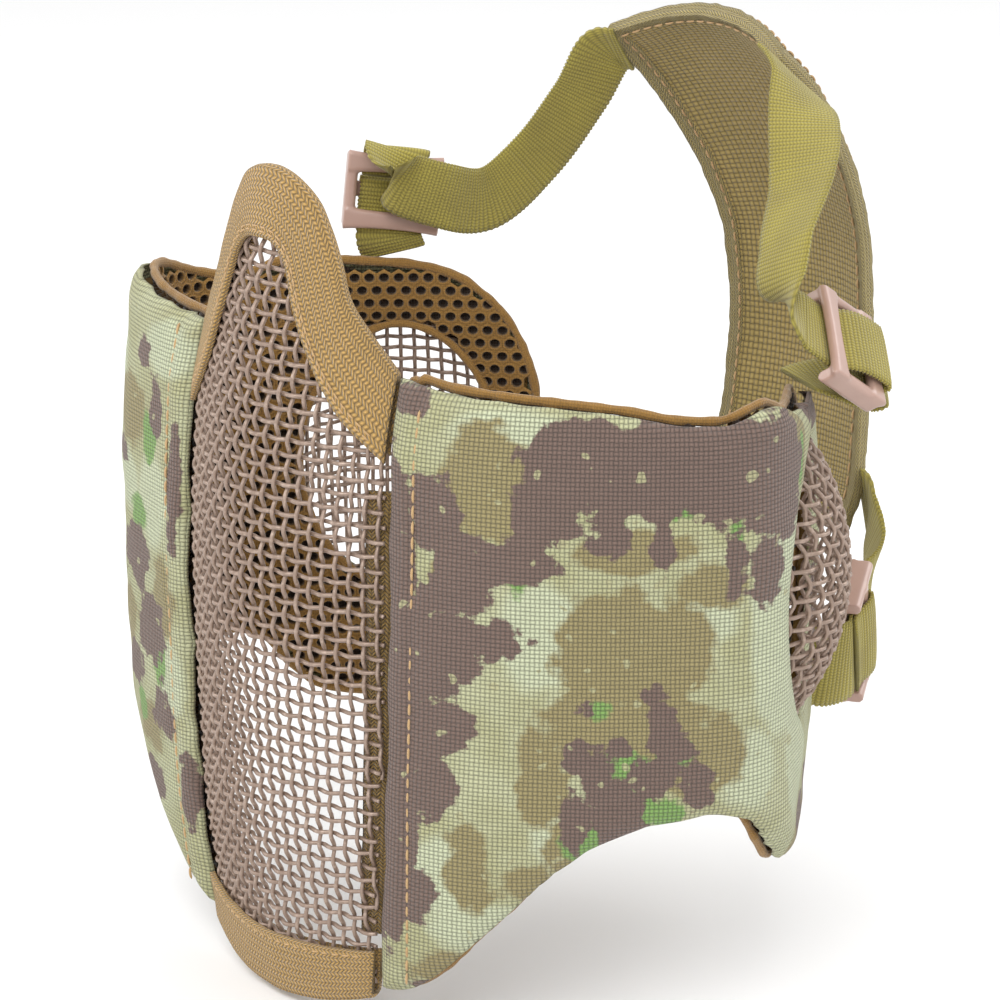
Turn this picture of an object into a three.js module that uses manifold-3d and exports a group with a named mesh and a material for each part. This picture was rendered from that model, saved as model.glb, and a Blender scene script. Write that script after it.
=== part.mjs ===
// Half-face field mask: a domed wire front between two padded cheek panels with domed wire
// ear guards, elastic webbing, four tri-glide buckles and a woven rear pad.
// Millimetres. +Z is up, the front faces -Y, +X is the wearer's left.
// The origin lies midway between the ear guards, at the height of their centres.
import * as THREE from "three";
import { mergeVertices } from "three/addons/utils/BufferGeometryUtils.js";
import Module from "manifold-3d";

const wasm = await Module();
wasm.setup();

// ---- driving dimensions ----
const GAP = 0.3; // clearance between touching pieces

// front wire dome
const WIRE_SHEET = 1.0; // thickness of the woven wire cloth, crimps included
const CHIN_Z = -93;
const NOSE_Z = 77.6;
const CHIN_RISE = 5; // how much higher the chin edge is at the seams
const RIDGE_POWER = 1.8; // roundness of the dome's cross-section
// height, half-width at the seam, Y of the seam, Y of the centre ridge
const FRONT_SECTIONS = [
  [-93, 26.2, -84.3, -90.0],
  [-50, 31.0, -86.5, -96.0],
  [0, 33.0, -86.5, -98.0],
  [24, 32.0, -85.5, -96.8],
  [42, 31.0, -82.0, -95.2],
  [80, 24.0, -76.0, -89.0],
];
// outer and inner outline of the nose binding, half-width and height, seam to apex
const NOSE_OUTER = [[31, 41.4], [26, 47.5], [20.9, 54], [17, 63], [11.5, 73], [6, 77.6], [0, 79]];
const NOSE_INNER = [[31.6, 25], [22.5, 33], [15.5, 43], [10.3, 54], [7.4, 61.5], [4.2, 64.8], [0, 65.5]];
const BINDING = 1.3; // thickness of one leaf of the knitted binding
const CHIN_BAND = 12.5; // height of the chin binding

// cheek panels: heading in degrees from +Y towards the outside, by distance from the seam
const SEAM = [33, -83];
const LEFT_HEADINGS = [
  [0, 82], [15, 62], [30, 46], [57, 36], [66, 22], [75, -10], [86, -34], [104, -43],
  [124, -41], [131, -34], [137, -22], [152, -20]];
const RIGHT_HEADINGS = [[0, 84], [22, 76], [36, 54], [50, 12], [62, -12], [86, -28], [110, -42], [152, -52]];
const PANEL_START = 1.6; // clearance from the seam axis, which lets the panel fold
const PANEL_END = 136;
const SEAM_FADE = 60; // length over which the panel leaves the seam's own curve
const PANEL_BULGE = 2; // outward swell of the cheek at mid height
// how far each soft panel's top edge has ridden up or sagged, by distance from the seam
const LEFT_LIFT = [[0, 0], [70, 0], [90, -5.5], [116, -5.5], [136, 0]];
const RIGHT_LIFT = [[0, 0], [20, 3], [42, 7], [72, 3], [100, 2.5], [124, 1], [136, 0]];
// distance from the seam, height of the top edge and of the bottom edge
const PANEL_OUTLINE = [
  [0, 42, -87], [7, 41.2, -85], [12, 40.6, -81], [22, 40, -69], [36, 39, -53.5], [46, 38, -47],
  [56, 36.2, -44], [64, 35.8, -43], [71, 37.5, -45], [78, 39.5, -52.5], [86, 39.5, -58.5], [96, 39, -60],
  [108, 38.5, -57.5], [116, 37, -54], [124, 32.5, -50], [130, 26, -46], [134, 17, -41.5], [136, 8, -37],
];
const COVER = { inner: 2.4, outer: 3.3, inset: 0, rise: 0, start: 0 };
const FOAM = { inner: -0.9, outer: 1.8, inset: 3.5, rise: 0, start: 3 };
const LINING = { inner: -3.6, outer: -1.6, inset: 0.4, rise: 1.2, start: 1 };

// ear guards
const EAR = { s: 104, z: -3.5, halfWidth: 23, halfHeight: 30.5, power: 1.9, dome: 10 };
const EAR_FLANGE = 2.2; // how far the wire runs on under the cover
const EAR_FOAM_CLEAR = 3.6; // clearance of the foam around the opening

// webbing and buckles
const UPPER_WEB = 15;
const LOWER_WEB = 20;
const WEB_THICK = 1.2;
const BUCKLE = { length: 17, rail: 2.4, endBar: 4.0, endThick: 1.9, centreBar: 3.4, centreThick: 1.7 };

// rear pad: Y and Z of its centre line from the lower edge up, with half-width
const PAD_LINE = [
  [56, -17, 22], [59.5, -8, 23], [62.5, 8, 21.8], [64, 28, 21.5], [62.5, 47, 22.2], [57, 64, 24],
  [47.5, 80, 26], [37.5, 92.5, 27.5], [28.5, 100.5, 27.5],
];
const PAD_THICK = 3.2;
const PAD_DISH = [4.5, 9]; // how much the sides wrap forward, at the lower and the upper edge
const EDGING = { leaf: 0.8, inset: 0.17, insetEnds: 0.065, stepsPerSide: 14 };

// ---- small helpers ----
const V = (x, y, z) => new THREE.Vector3(x, y, z);

// smooth value at x through rows [x, value...], monotone between rows
function curveAt(rows, x, column = 1) {
  const n = rows.length;
  if (x <= rows[0][0]) return rows[0][column];
  if (x >= rows[n - 1][0]) return rows[n - 1][column];
  let i = 0;
  while (x > rows[i + 1][0]) i += 1;
  const slope = (k) => (rows[k + 1][column] - rows[k][column]) / (rows[k + 1][0] - rows[k][0]);
  const tangent = (k) => {
    if (k === 0) return slope(0);
    if (k === n - 1) return slope(n - 2);
    const before = slope(k - 1);
    const after = slope(k);
    return before * after <= 0 ? 0 : (2 * before * after) / (before + after);
  };
  const h = rows[i + 1][0] - rows[i][0];
  const t = (x - rows[i][0]) / h;
  const a = rows[i][column];
  const b = rows[i + 1][column];
  return (
    a * (1 + 2 * t) * (1 - t) ** 2 + h * tangent(i) * t * (1 - t) ** 2 +
    b * t * t * (3 - 2 * t) + h * tangent(i + 1) * t * t * (t - 1)
  );
}

function splineAt(points, t) {
  const curve = new THREE.CatmullRomCurve3(points.map(([a, b]) => V(a, b, 0)), false, "centripetal");
  return curve.getPoint(t);
}

// closed solid from two matching grids of points, rows by columns
function slab(outer, inner) {
  const rows = outer.length;
  const columns = outer[0].length;
  const positions = [...outer.flat(), ...inner.flat()].flatMap((p) => [p.x, p.y, p.z]);
  const at = (r, c) => r * columns + c;
  const back = rows * columns;
  const index = [];
  const quad = (a, b, c, d) => index.push(a, b, c, a, c, d);
  for (let r = 0; r < rows - 1; r += 1) {
    for (let c = 0; c < columns - 1; c += 1) {
      quad(at(r, c), at(r, c + 1), at(r + 1, c + 1), at(r + 1, c));
      quad(back + at(r, c), back + at(r + 1, c), back + at(r + 1, c + 1), back + at(r, c + 1));
    }
  }
  const rim = [];
  for (let c = 0; c < columns - 1; c += 1) rim.push(at(0, c));
  for (let r = 0; r < rows - 1; r += 1) rim.push(at(r, columns - 1));
  for (let c = columns - 1; c > 0; c -= 1) rim.push(at(rows - 1, c));
  for (let r = rows - 1; r > 0; r -= 1) rim.push(at(r, 0));
  rim.forEach((a, k) => {
    const b = rim[(k + 1) % rim.length];
    quad(a, back + a, back + b, b);
  });
  return facingOut(indexed(positions, index));
}

function indexed(positions, index) {
  const geometry = new THREE.BufferGeometry();
  geometry.setAttribute("position", new THREE.Float32BufferAttribute(positions, 3));
  geometry.setIndex(index);
  return geometry;
}

function volumeOf(geometry) {
  const p = geometry.attributes.position;
  const id = geometry.index.array;
  const [a, b, c] = [V(), V(), V()];
  let sum = 0;
  for (let i = 0; i < id.length; i += 3) {
    a.fromBufferAttribute(p, id[i]);
    b.fromBufferAttribute(p, id[i + 1]);
    c.fromBufferAttribute(p, id[i + 2]);
    sum += a.dot(b.cross(c));
  }
  return sum / 6;
}

function facingOut(geometry) {
  if (volumeOf(geometry) < 0) geometry.setIndex(Array.from(geometry.index.array).reverse());
  return geometry;
}

// closed solid from a ring of sections: each section is a closed loop of points
function loft(sections, closed = false) {
  const size = sections[0].length;
  const positions = sections.flat().flatMap((p) => [p.x, p.y, p.z]);
  const index = [];
  const last = closed ? sections.length : sections.length - 1;
  for (let i = 0; i < last; i += 1) {
    const here = i * size;
    const next = ((i + 1) % sections.length) * size;
    for (let k = 0; k < size; k += 1) {
      const m = (k + 1) % size;
      index.push(here + k, next + k, next + m, here + k, next + m, here + m);
    }
  }
  return { positions, index, size, count: sections.length };
}

// loft with flat end caps, the section given as the plan polygon for the cap
function cappedLoft(sections, capPolygon) {
  const { positions, index, size, count } = loft(sections);
  const faces = THREE.ShapeUtils.triangulateShape(capPolygon, []);
  const end = (count - 1) * size;
  faces.forEach(([a, b, c]) => {
    index.push(a, b, c);
    index.push(end + c, end + b, end + a);
  });
  return facingOut(indexed(positions, index));
}

function toManifold(geometry) {
  const bare = new THREE.BufferGeometry();
  bare.setAttribute("position", geometry.attributes.position.clone());
  if (geometry.index) bare.setIndex(geometry.index.clone());
  const merged = mergeVertices(bare, 1e-4);
  return new wasm.Manifold(new wasm.Mesh({
    numProp: 3,
    vertProperties: new Float32Array(merged.attributes.position.array),
    triVerts: new Uint32Array(merged.index.array),
  }));
}

function fromManifold(solid) {
  const mesh = solid.getMesh();
  return indexed(Array.from(mesh.vertProperties), Array.from(mesh.triVerts));
}

// ---- the front dome's surface ----
function seamHalfWidth(z) {
  return curveAt(FRONT_SECTIONS, z, 1);
}

function frontY(x, z) {
  const seam = curveAt(FRONT_SECTIONS, z, 2);
  const ridge = curveAt(FRONT_SECTIONS, z, 3);
  return ridge + (seam - ridge) * Math.abs(x / seamHalfWidth(z)) ** RIDGE_POWER;
}

function frontPoint(x, z, d) {
  const step = 0.5;
  const slopeX = (frontY(x + step, z) - frontY(x - step, z)) / (2 * step);
  const slopeZ = (frontY(x, z + step) - frontY(x, z - step)) / (2 * step);
  const normal = V(slopeX, -1, slopeZ).normalize();
  return V(x, frontY(x, z), z).addScaledVector(normal, d);
}

// half-width of the wire at a height, inside the nose outline
function wireHalfWidth(z) {
  const rows = NOSE_OUTER.map(([half, height]) => [height, half]);
  const nose = z > rows[0][0] ? curveAt(rows, z) - 1 : Infinity;
  return Math.min(seamHalfWidth(z) - GAP, nose);
}

function frontWire() {
  const rows = 30;
  const columns = 20;
  const grid = (d) => Array.from({ length: rows + 1 }, (_, r) => {
    const v = r / rows;
    const level = THREE.MathUtils.lerp(CHIN_Z + 1, NOSE_Z - 0.6, v);
    return Array.from({ length: columns + 1 }, (_unused, c) => {
      const u = (2 * c) / columns - 1;
      const z = level + CHIN_RISE * u * u * (1 - v) ** 3;
      return frontPoint(u * wireHalfWidth(level), z, d);
    });
  });
  return slab(grid(WIRE_SHEET / 2), grid(-WIRE_SHEET / 2));
}

// U-shaped fabric folded over an edge: "reach" runs from the fold (0) to the free edge (1)
function foldProfile(near, leaf) {
  const far = near + leaf;
  return [
    [1, far], [0.5, far], [0, far], [-0.06, far / 2], [-0.06, -far / 2], [0, -far], [0.5, -far], [0.92, -far],
    [0.92, -near], [0.5, -near], [0.03, -near], [0.03, near], [0.5, near], [1, near],
  ];
}

function foldedBinding(place, steps) {
  const profile = foldProfile(WIRE_SHEET / 2 + GAP, BINDING);
  const polygon = profile.map(([reach, d]) => new THREE.Vector2(reach * 10, d));
  const sections = Array.from({ length: steps + 1 }, (_, i) => {
    return profile.map(([reach, d]) => place(i / steps, reach, d));
  });
  return cappedLoft(sections, polygon);
}

function noseBinding() {
  const mirrored = (rows) => [...rows.map(([x, z]) => [-x, z]), ...rows.slice(0, -1).reverse()];
  const outer = mirrored(NOSE_OUTER);
  const inner = mirrored(NOSE_INNER);
  return foldedBinding((t, reach, d) => {
    const p = splineAt(outer, t).lerp(splineAt(inner, t), reach);
    return frontPoint(p.x, p.y, d);
  }, 36);
}

function chinBinding() {
  return foldedBinding((t, reach, d) => {
    const u = 2 * t - 1;
    const low = CHIN_Z - 0.6 + CHIN_RISE * u * u;
    const high = CHIN_Z + CHIN_BAND + 0.45 * CHIN_RISE * u * u;
    const z = THREE.MathUtils.lerp(low, high, reach);
    return frontPoint(u * (seamHalfWidth(z) - GAP), z, d);
  }, 20);
}

// tape that joins the wire to a cheek panel, behind the wire's side edge
function seamTape(side) {
  const rows = 16;
  const grid = (d) => Array.from({ length: rows + 1 }, (_, r) => {
    const z = THREE.MathUtils.lerp(CHIN_Z + CHIN_BAND + 5, NOSE_INNER[0][1] - 6, r / rows);
    return [7.5, 4.5, 1.2].map((inset) => frontPoint(side * (seamHalfWidth(z) - inset), z, d));
  });
  return slab(grid(-WIRE_SHEET / 2 - GAP), grid(-WIRE_SHEET / 2 - GAP - 1.2));
}

// ---- cheek panels ----
function planCurve(headings) {
  const points = [new THREE.Vector2(...SEAM)];
  for (let s = 0; s < 175; s += 1) {
    const heading = THREE.MathUtils.degToRad(curveAt(headings, s + 0.5));
    points.push(points[s].clone().add(new THREE.Vector2(Math.sin(heading), Math.cos(heading))));
  }
  return points;
}

const SIDES = {
  left: { sign: 1, headings: LEFT_HEADINGS, plan: planCurve(LEFT_HEADINGS), lift: LEFT_LIFT },
  right: { sign: -1, headings: RIGHT_HEADINGS, plan: planCurve(RIGHT_HEADINGS), lift: RIGHT_LIFT },
};

function outwardAt(side, s) {
  const heading = THREE.MathUtils.degToRad(curveAt(side.headings, s));
  return V(side.sign * Math.cos(heading), -Math.sin(heading), 0);
}

function alongAt(side, s) {
  const heading = THREE.MathUtils.degToRad(curveAt(side.headings, s));
  return V(side.sign * Math.sin(heading), Math.cos(heading), 0);
}

// point of a cheek panel: s from the seam, height z, d out from the middle of its thickness
function panelPoint(side, s, z, d) {
  const i = Math.min(Math.floor(s), side.plan.length - 2);
  const flat = side.plan[i].clone().lerp(side.plan[i + 1], s - i);
  const fade = Math.max(0, 1 - s / SEAM_FADE) ** 2;
  flat.x += fade * (seamHalfWidth(z) - SEAM[0]);
  flat.y += fade * (curveAt(FRONT_SECTIONS, z, 2) - SEAM[1]);
  const swell = PANEL_BULGE * Math.sin(Math.PI * Math.min(s / 84, 1)) * Math.max(0, 1 - ((z + 5) / 75) ** 2);
  return V(side.sign * flat.x, flat.y, z).addScaledVector(outwardAt(side, s), d + swell);
}

function topEdge(side, s) {
  return curveAt(PANEL_OUTLINE, s, 1) + curveAt(side.lift, s);
}

function panelLayer(side, layer, columns, rows) {
  const from = PANEL_START + layer.start;
  const to = PANEL_END - layer.inset;
  const grid = (d) => Array.from({ length: rows + 1 }, (_, r) => {
    return Array.from({ length: columns + 1 }, (_unused, c) => {
      const s = THREE.MathUtils.lerp(from, to, c / columns);
      const top = topEdge(side, s) - layer.inset + layer.rise;
      const bottom = curveAt(PANEL_OUTLINE, s, 2) + layer.inset - layer.rise;
      return panelPoint(side, s, THREE.MathUtils.lerp(bottom, top, r / rows), d);
    });
  });
  return slab(grid(layer.outer), grid(layer.inner));
}

function earOutline(grow, points) {
  return Array.from({ length: points }, (_, i) => {
    const angle = (2 * Math.PI * i) / points;
    const round = 2 / EAR.power;
    const x = Math.sign(Math.cos(angle)) * Math.abs(Math.cos(angle)) ** round * (EAR.halfWidth + grow);
    const z = Math.sign(Math.sin(angle)) * Math.abs(Math.sin(angle)) ** round * (EAR.halfHeight + grow);
    return new THREE.Vector2(x, z);
  });
}

// layer with the oval ear opening cut through it
function cutEar(side, geometry, grow) {
  const shape = new THREE.Shape(earOutline(grow, 36));
  const cutter = new THREE.ExtrudeGeometry(shape, { depth: 60, bevelEnabled: false });
  const along = alongAt(side, EAR.s);
  const outward = outwardAt(side, EAR.s);
  const centre = panelPoint(side, EAR.s, EAR.z, 0).addScaledVector(outward, -30);
  const up = V(0, 0, 1);
  const right = side.sign > 0 ? along.clone() : along.clone().negate();
  cutter.applyMatrix4(new THREE.Matrix4().makeBasis(right, up, outward).setPosition(centre));
  return fromManifold(toManifold(geometry).subtract(toManifold(cutter)));
}

function earGuard(side) {
  const rings = 9;
  const spokes = 36;
  const flangeOuter = 1.9;
  const place = (ring, spoke, lift) => {
    const reach = ring / rings;
    const p = earOutline(EAR_FLANGE, spokes)[spoke].multiplyScalar(reach);
    const edge = (EAR.halfWidth - 1) / (EAR.halfWidth + EAR_FLANGE);
    const rise = EAR.dome * Math.max(0, 1 - (reach / edge) ** 2) ** 0.85;
    return panelPoint(side, EAR.s + p.x, EAR.z + p.y, flangeOuter - lift + rise);
  };
  const positions = [];
  const push = (p) => positions.push(p.x, p.y, p.z);
  [0, WIRE_SHEET].forEach((lift) => {
    push(place(0, 0, lift));
    for (let r = 1; r <= rings; r += 1) {
      for (let k = 0; k < spokes; k += 1) push(place(r, k, lift));
    }
  });
  const layer = 1 + rings * spokes;
  const at = (base, r, k) => (r === 0 ? base : base + 1 + (r - 1) * spokes + (k % spokes));
  const index = [];
  for (let k = 0; k < spokes; k += 1) {
    index.push(0, at(0, 1, k), at(0, 1, k + 1));
    index.push(layer, at(layer, 1, k + 1), at(layer, 1, k));
    for (let r = 1; r < rings; r += 1) {
      const [a, b, c, d] = [at(0, r, k), at(0, r + 1, k), at(0, r + 1, k + 1), at(0, r, k + 1)];
      index.push(a, b, c, a, c, d);
      index.push(layer + a, layer + c, layer + b, layer + a, layer + d, layer + c);
    }
    const [e, f] = [at(0, rings, k), at(0, rings, k + 1)];
    index.push(e, layer + e, layer + f, e, layer + f, f);
  }
  return facingOut(indexed(positions, index));
}

// ---- webbing ----
// flat tape along a path: each stop is {at, across}, across being the direction of its width
function tape(stops, width, steps, thick = WEB_THICK) {
  const path = new THREE.CatmullRomCurve3(stops.map((stop) => stop.at), false, "centripetal");
  const sections = Array.from({ length: steps + 1 }, (_, i) => {
    const t = i / steps;
    const k = Math.min(Math.floor(t * (stops.length - 1)), stops.length - 2);
    const mix = t * (stops.length - 1) - k;
    const tangent = path.getTangent(t);
    const across = stops[k].across.clone().lerp(stops[k + 1].across, mix);
    across.addScaledVector(tangent, -across.dot(tangent)).normalize();
    const normal = tangent.clone().cross(across).normalize();
    const corner = (a, b) => path.getPoint(t).addScaledVector(across, (a * width) / 2)
      .addScaledVector(normal, (b * thick) / 2);
    return [corner(-1, -1), corner(0, -1), corner(1, -1), corner(1, 1), corner(0, 1), corner(-1, 1)];
  });
  const cap = [[-1, -1], [0, -1], [1, -1], [1, 1], [0, 1], [-1, 1]];
  return cappedLoft(sections, cap.map(([a, b]) => new THREE.Vector2(a * width, b)));
}

// each buckle: centre, direction of its bars, direction of the tape through it
const BUCKLE_PLACES = {
  left_upper: { at: V(69.5, 1.5, 42), bars: V(0.62, -0.4, -0.67), run: V(0, 0.83, -0.55), web: UPPER_WEB },
  right_upper: { at: V(-56, -15.5, 57.5), bars: V(0.55, 0.83, -0.1), run: V(0, 0.12, 0.99), web: UPPER_WEB },
  left_lower: { at: V(43.8, 34.5, -30.5), bars: V(0.2, -0.28, 0.94), run: V(-0.54, 0.77, 0.34), web: LOWER_WEB },
  right_lower: { at: V(-31, 26, -29.5), bars: V(-0.03, -0.34, 0.94), run: V(0.09, 0.94, 0.34), web: LOWER_WEB },
};

function buckleFrame(place) {
  const bars = place.bars.clone().normalize();
  const run = place.run.clone().addScaledVector(bars, -place.run.dot(bars)).normalize();
  return { bars, run, face: bars.clone().cross(run) };
}

function bar(lengthX, widthY, thickZ, y, z) {
  const chamfer = Math.min(widthY, thickZ) * 0.28;
  const [w, h] = [widthY / 2, thickZ / 2];
  const outline = [
    [-w + chamfer, -h], [w - chamfer, -h], [w, -h + chamfer], [w, h - chamfer],
    [w - chamfer, h], [-w + chamfer, h], [-w, h - chamfer], [-w, -h + chamfer],
  ];
  const shape = new THREE.Shape(outline.map(([a, b]) => new THREE.Vector2(a, b)));
  const solid = new THREE.ExtrudeGeometry(shape, { depth: lengthX, bevelEnabled: false });
  solid.applyMatrix4(new THREE.Matrix4().makeBasis(V(0, 1, 0), V(0, 0, 1), V(1, 0, 0)));
  return solid.translate(-lengthX / 2, y, z);
}

// tri-glide: end bars above the tape, centre bar below it, side rails joining them
function triGlide(place) {
  const half = WEB_THICK / 2 + GAP;
  const top = half + BUCKLE.endThick;
  const bottom = -half - BUCKLE.centreThick;
  const wide = place.web + 2 * GAP + 2 * BUCKLE.rail + 1;
  const endY = (BUCKLE.length - BUCKLE.endBar) / 2;
  const pieces = [
    bar(wide, BUCKLE.endBar, BUCKLE.endThick, endY, half + BUCKLE.endThick / 2),
    bar(wide, BUCKLE.endBar, BUCKLE.endThick, -endY, half + BUCKLE.endThick / 2),
    bar(wide - 1, BUCKLE.centreBar, BUCKLE.centreThick, 0, -half - BUCKLE.centreThick / 2),
  ];
  [-1, 1].forEach((sign) => {
    const rail = new THREE.BoxGeometry(BUCKLE.rail, BUCKLE.length - 1.2, top - bottom - 0.6);
    pieces.push(rail.translate((sign * (wide - BUCKLE.rail)) / 2, 0, (top + bottom) / 2));
  });
  const { bars, run, face } = buckleFrame(place);
  const solid = fromManifold(wasm.Manifold.union(pieces.map(toManifold)));
  return solid.applyMatrix4(new THREE.Matrix4().makeBasis(bars, run, face).setPosition(place.at));
}

// tapes sewn to the panels: points from the panel, then straight through the buckle
const TAB_ROUTES = {
  left_upper: {
    points: [[62.3, -4.2, 35.3], [64, 3, 34.4], [67, 11, 33.4], [69.5, 12.6, 34.6]],
    across: [[0.72, -0.69, 0], [0.7, -0.6, -0.3], [0.62, -0.4, -0.67], [0.62, -0.4, -0.67]],
    straight: [10, -11.5],
  },
  right_upper: {
    points: [[-56.8, -14.6, 43.6]],
    across: [[0.58, 0.82, -0.05]],
    straight: [-12.2, 11.5],
  },
  left_lower: {
    points: [[46, 16.8, -33.5], [48.6, 20.6, -34.2]],
    across: [[0, -0.2, 1], [0.05, -0.3, 0.95]],
    straight: [-11.4, 11.5],
  },
  right_lower: {
    points: [[-33, 10.4, -34]],
    across: [[0, -0.2, 1]],
    straight: [-11.2, 11.5],
  },
};

function tab(name) {
  const place = BUCKLE_PLACES[name];
  const route = TAB_ROUTES[name];
  const { bars, run } = buckleFrame(place);
  const stops = route.points.map((p, i) => ({ at: V(...p), across: V(...route.across[i]) }));
  const [from, to] = route.straight;
  for (let k = 0; k <= 4; k += 1) {
    const along = THREE.MathUtils.lerp(from, to, k / 4);
    stops.push({ at: place.at.clone().addScaledVector(run, along), across: bars });
  }
  return tape(stops, place.web, 28);
}

// free webbing between buckle and pad, points from the buckle to the pad
const STRAP_ROUTES = {
  left_upper: {
    points: [[69.3, -10, 49.6], [68.7, -13, 52.6], [66.5, -13.8, 57], [63, -9.5, 64.5], [56, 1.5, 74.5],
      [46, 11.5, 84.5], [37, 18.5, 89.5], [29.6, 22, 91.5]],
    across: [[0.62, -0.4, -0.67], [0.7, -0.3, -0.5], [0.95, -0.1, 0.1], [0.95, 0, 0.3], [0.9, 0.4, 0.3],
      [0.5, 0.8, 0], [0.2, 0.75, -0.5], [0.05, 0.75, -0.66]],
  },
  right_upper: {
    points: [[-51, -19, 62], [-46.4, -9.5, 57.5], [-45, 3, 55.5], [-42, 14.5, 64], [-36, 22.5, 78],
      [-30, 25, 88.5]],
    across: [[0.1, 0.4, -0.85], [0, 0.3, -1], [0, 0, -1], [0, 0.5, -0.85], [0, 0.7, -0.7], [0, 0.75, -0.66]],
  },
};

// each lower strap climbs from its buckle to the pad along a level heading, steepest half way
const CLIMBS = {
  left_lower: { from: V(35.7, 46, -25.4), heading: V(-0.7, 0.714, 0), length: 21.3 },
  right_lower: { from: V(-29.6, 40, -24.4), heading: V(0.3, 0.954, 0), length: 21.3 },
};
const CLIMB_STEPS = 6;
const CLIMB_TWIST = 0.2;

function climb({ from, heading, length }) {
  const side = V(Math.sign(from.x) * Math.abs(heading.y), Math.abs(heading.x), 0);
  const lean = (t) => THREE.MathUtils.degToRad(28 + 6 * t + 16 * Math.sin(Math.PI * t));
  const step = length / CLIMB_STEPS;
  const along = from.clone();
  const stops = [];
  for (let k = 0; k <= CLIMB_STEPS; k += 1) {
    const t = k / CLIMB_STEPS;
    const bow = Math.sin(Math.PI * t);
    const across = V(0, 0, Math.cos(lean(t))).addScaledVector(heading, -Math.sin(lean(t)));
    across.addScaledVector(side, CLIMB_TWIST * bow);
    stops.push({ at: along.clone().addScaledVector(side, bow * bow), across });
    const middle = lean(t + 0.5 / CLIMB_STEPS);
    along.addScaledVector(heading, step * Math.cos(middle));
    along.z += step * Math.sin(middle);
  }
  return stops;
}

function strap(name) {
  const route = STRAP_ROUTES[name];
  const stops = route
    ? route.points.map((p, i) => ({ at: V(...p), across: V(...route.across[i]) }))
    : climb(CLIMBS[name]);
  return tape(stops, BUCKLE_PLACES[name].web, 30);
}

// ---- rear pad ----
function padPoint(t, u, d) {
  const heights = PAD_LINE.map(([y, z, half], i) => [i / (PAD_LINE.length - 1), y, z, half]);
  const step = 0.01;
  const slope = [1, 2].map((k) => curveAt(heights, t + step, k) - curveAt(heights, t - step, k));
  const outward = V(0, slope[1], -slope[0]).normalize();
  const half = curveAt(heights, t, 3);
  return V(u * half, curveAt(heights, t, 1), curveAt(heights, t, 2))
    .addScaledVector(outward, d - THREE.MathUtils.lerp(...PAD_DISH, t) * u * u);
}

function padBody() {
  const rows = 20;
  const columns = 8;
  const grid = (d) => Array.from({ length: rows + 1 }, (_, r) => {
    const t = THREE.MathUtils.lerp(0.01, 0.99, r / rows);
    return Array.from({ length: columns + 1 }, (_unused, c) => padPoint(t, 0.97 * ((2 * c) / columns - 1), d));
  });
  return slab(grid(PAD_THICK / 2), grid(-PAD_THICK / 2));
}

// binding folded around the whole edge of the pad
function padEdging() {
  const sides = [[-1, -1], [-1, 1], [1, 1], [1, -1]];
  const per = EDGING.stepsPerSide;
  const profile = foldProfile(PAD_THICK / 2 + GAP, EDGING.leaf);
  const sections = [];
  sides.forEach(([b0, u0], k) => {
    const [b1, u1] = sides[(k + 1) % 4];
    for (let i = 0; i < per; i += 1) {
      const b = THREE.MathUtils.lerp(b0, b1, i / per);
      const u = THREE.MathUtils.lerp(u0, u1, i / per);
      sections.push(profile.map(([reach, d]) => {
        const keep = 1 - reach * EDGING.inset;
        return padPoint(0.5 + 0.5 * b * (1 - reach * EDGING.insetEnds), u * keep, d);
      }));
    }
  });
  const { positions, index } = loft(sections, true);
  return facingOut(indexed(positions, index));
}

const group = new THREE.Group();

function add(name, geometry, color, roughness, metalness = 0) {
  const material = new THREE.MeshStandardMaterial({ color, roughness, metalness });
  const mesh = new THREE.Mesh(geometry, material);
  mesh.name = name;
  group.add(mesh);
}

const COLOR = {
  wire: 0x9c877a, binding: 0xb3955c, camo: 0x8b8468, foam: 0x5d5140, lining: 0x8f6b33,
  webbing: 0x8f8440, plastic: 0xb8978a, pad: 0x8b7653, edging: 0x9c8a55, tape: 0xa5874f,
};

add("front_mesh", frontWire(), COLOR.wire, 0.45, 0.6);
add("nose_binding", noseBinding(), COLOR.binding, 0.95);
add("chin_binding", chinBinding(), COLOR.binding, 0.95);
Object.entries(SIDES).forEach(([name, side]) => {
  add(`${name}_seam_tape`, seamTape(side.sign), COLOR.tape, 0.95);
  add(`${name}_cheek_cover`, cutEar(side, panelLayer(side, COVER, 34, 9), 0), COLOR.camo, 0.9);
  add(`${name}_cheek_foam`, cutEar(side, panelLayer(side, FOAM, 30, 6), EAR_FOAM_CLEAR), COLOR.foam, 1);
  add(`${name}_cheek_lining`, cutEar(side, panelLayer(side, LINING, 30, 8), -0.5), COLOR.lining, 1);
  add(`${name}_ear_mesh`, earGuard(side), COLOR.wire, 0.45, 0.6);
});
Object.entries(BUCKLE_PLACES).forEach(([name, place]) => {
  add(`${name}_tab`, tab(name), COLOR.webbing, 0.85);
  add(`${name}_buckle`, triGlide(place), COLOR.plastic, 0.35);
  add(`${name}_strap`, strap(name), COLOR.webbing, 0.85);
});
add("rear_pad", padBody(), COLOR.pad, 0.95);
add("rear_pad_edging", padEdging(), COLOR.edging, 0.95);

export default group;
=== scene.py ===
"""Half-face field mask: the visible model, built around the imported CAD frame.

Geometry is worked out in millimetres and scaled to metres when a mesh is made. The surfaces are the CAD
model's own: the front dome by (x, z), each cheek panel by (s, z) with s the distance from the seam, and
d the distance out from the sheet's middle.
"""
import math

import bmesh
import bpy
import numpy as np
from mathutils import Matrix, Vector, noise


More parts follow.
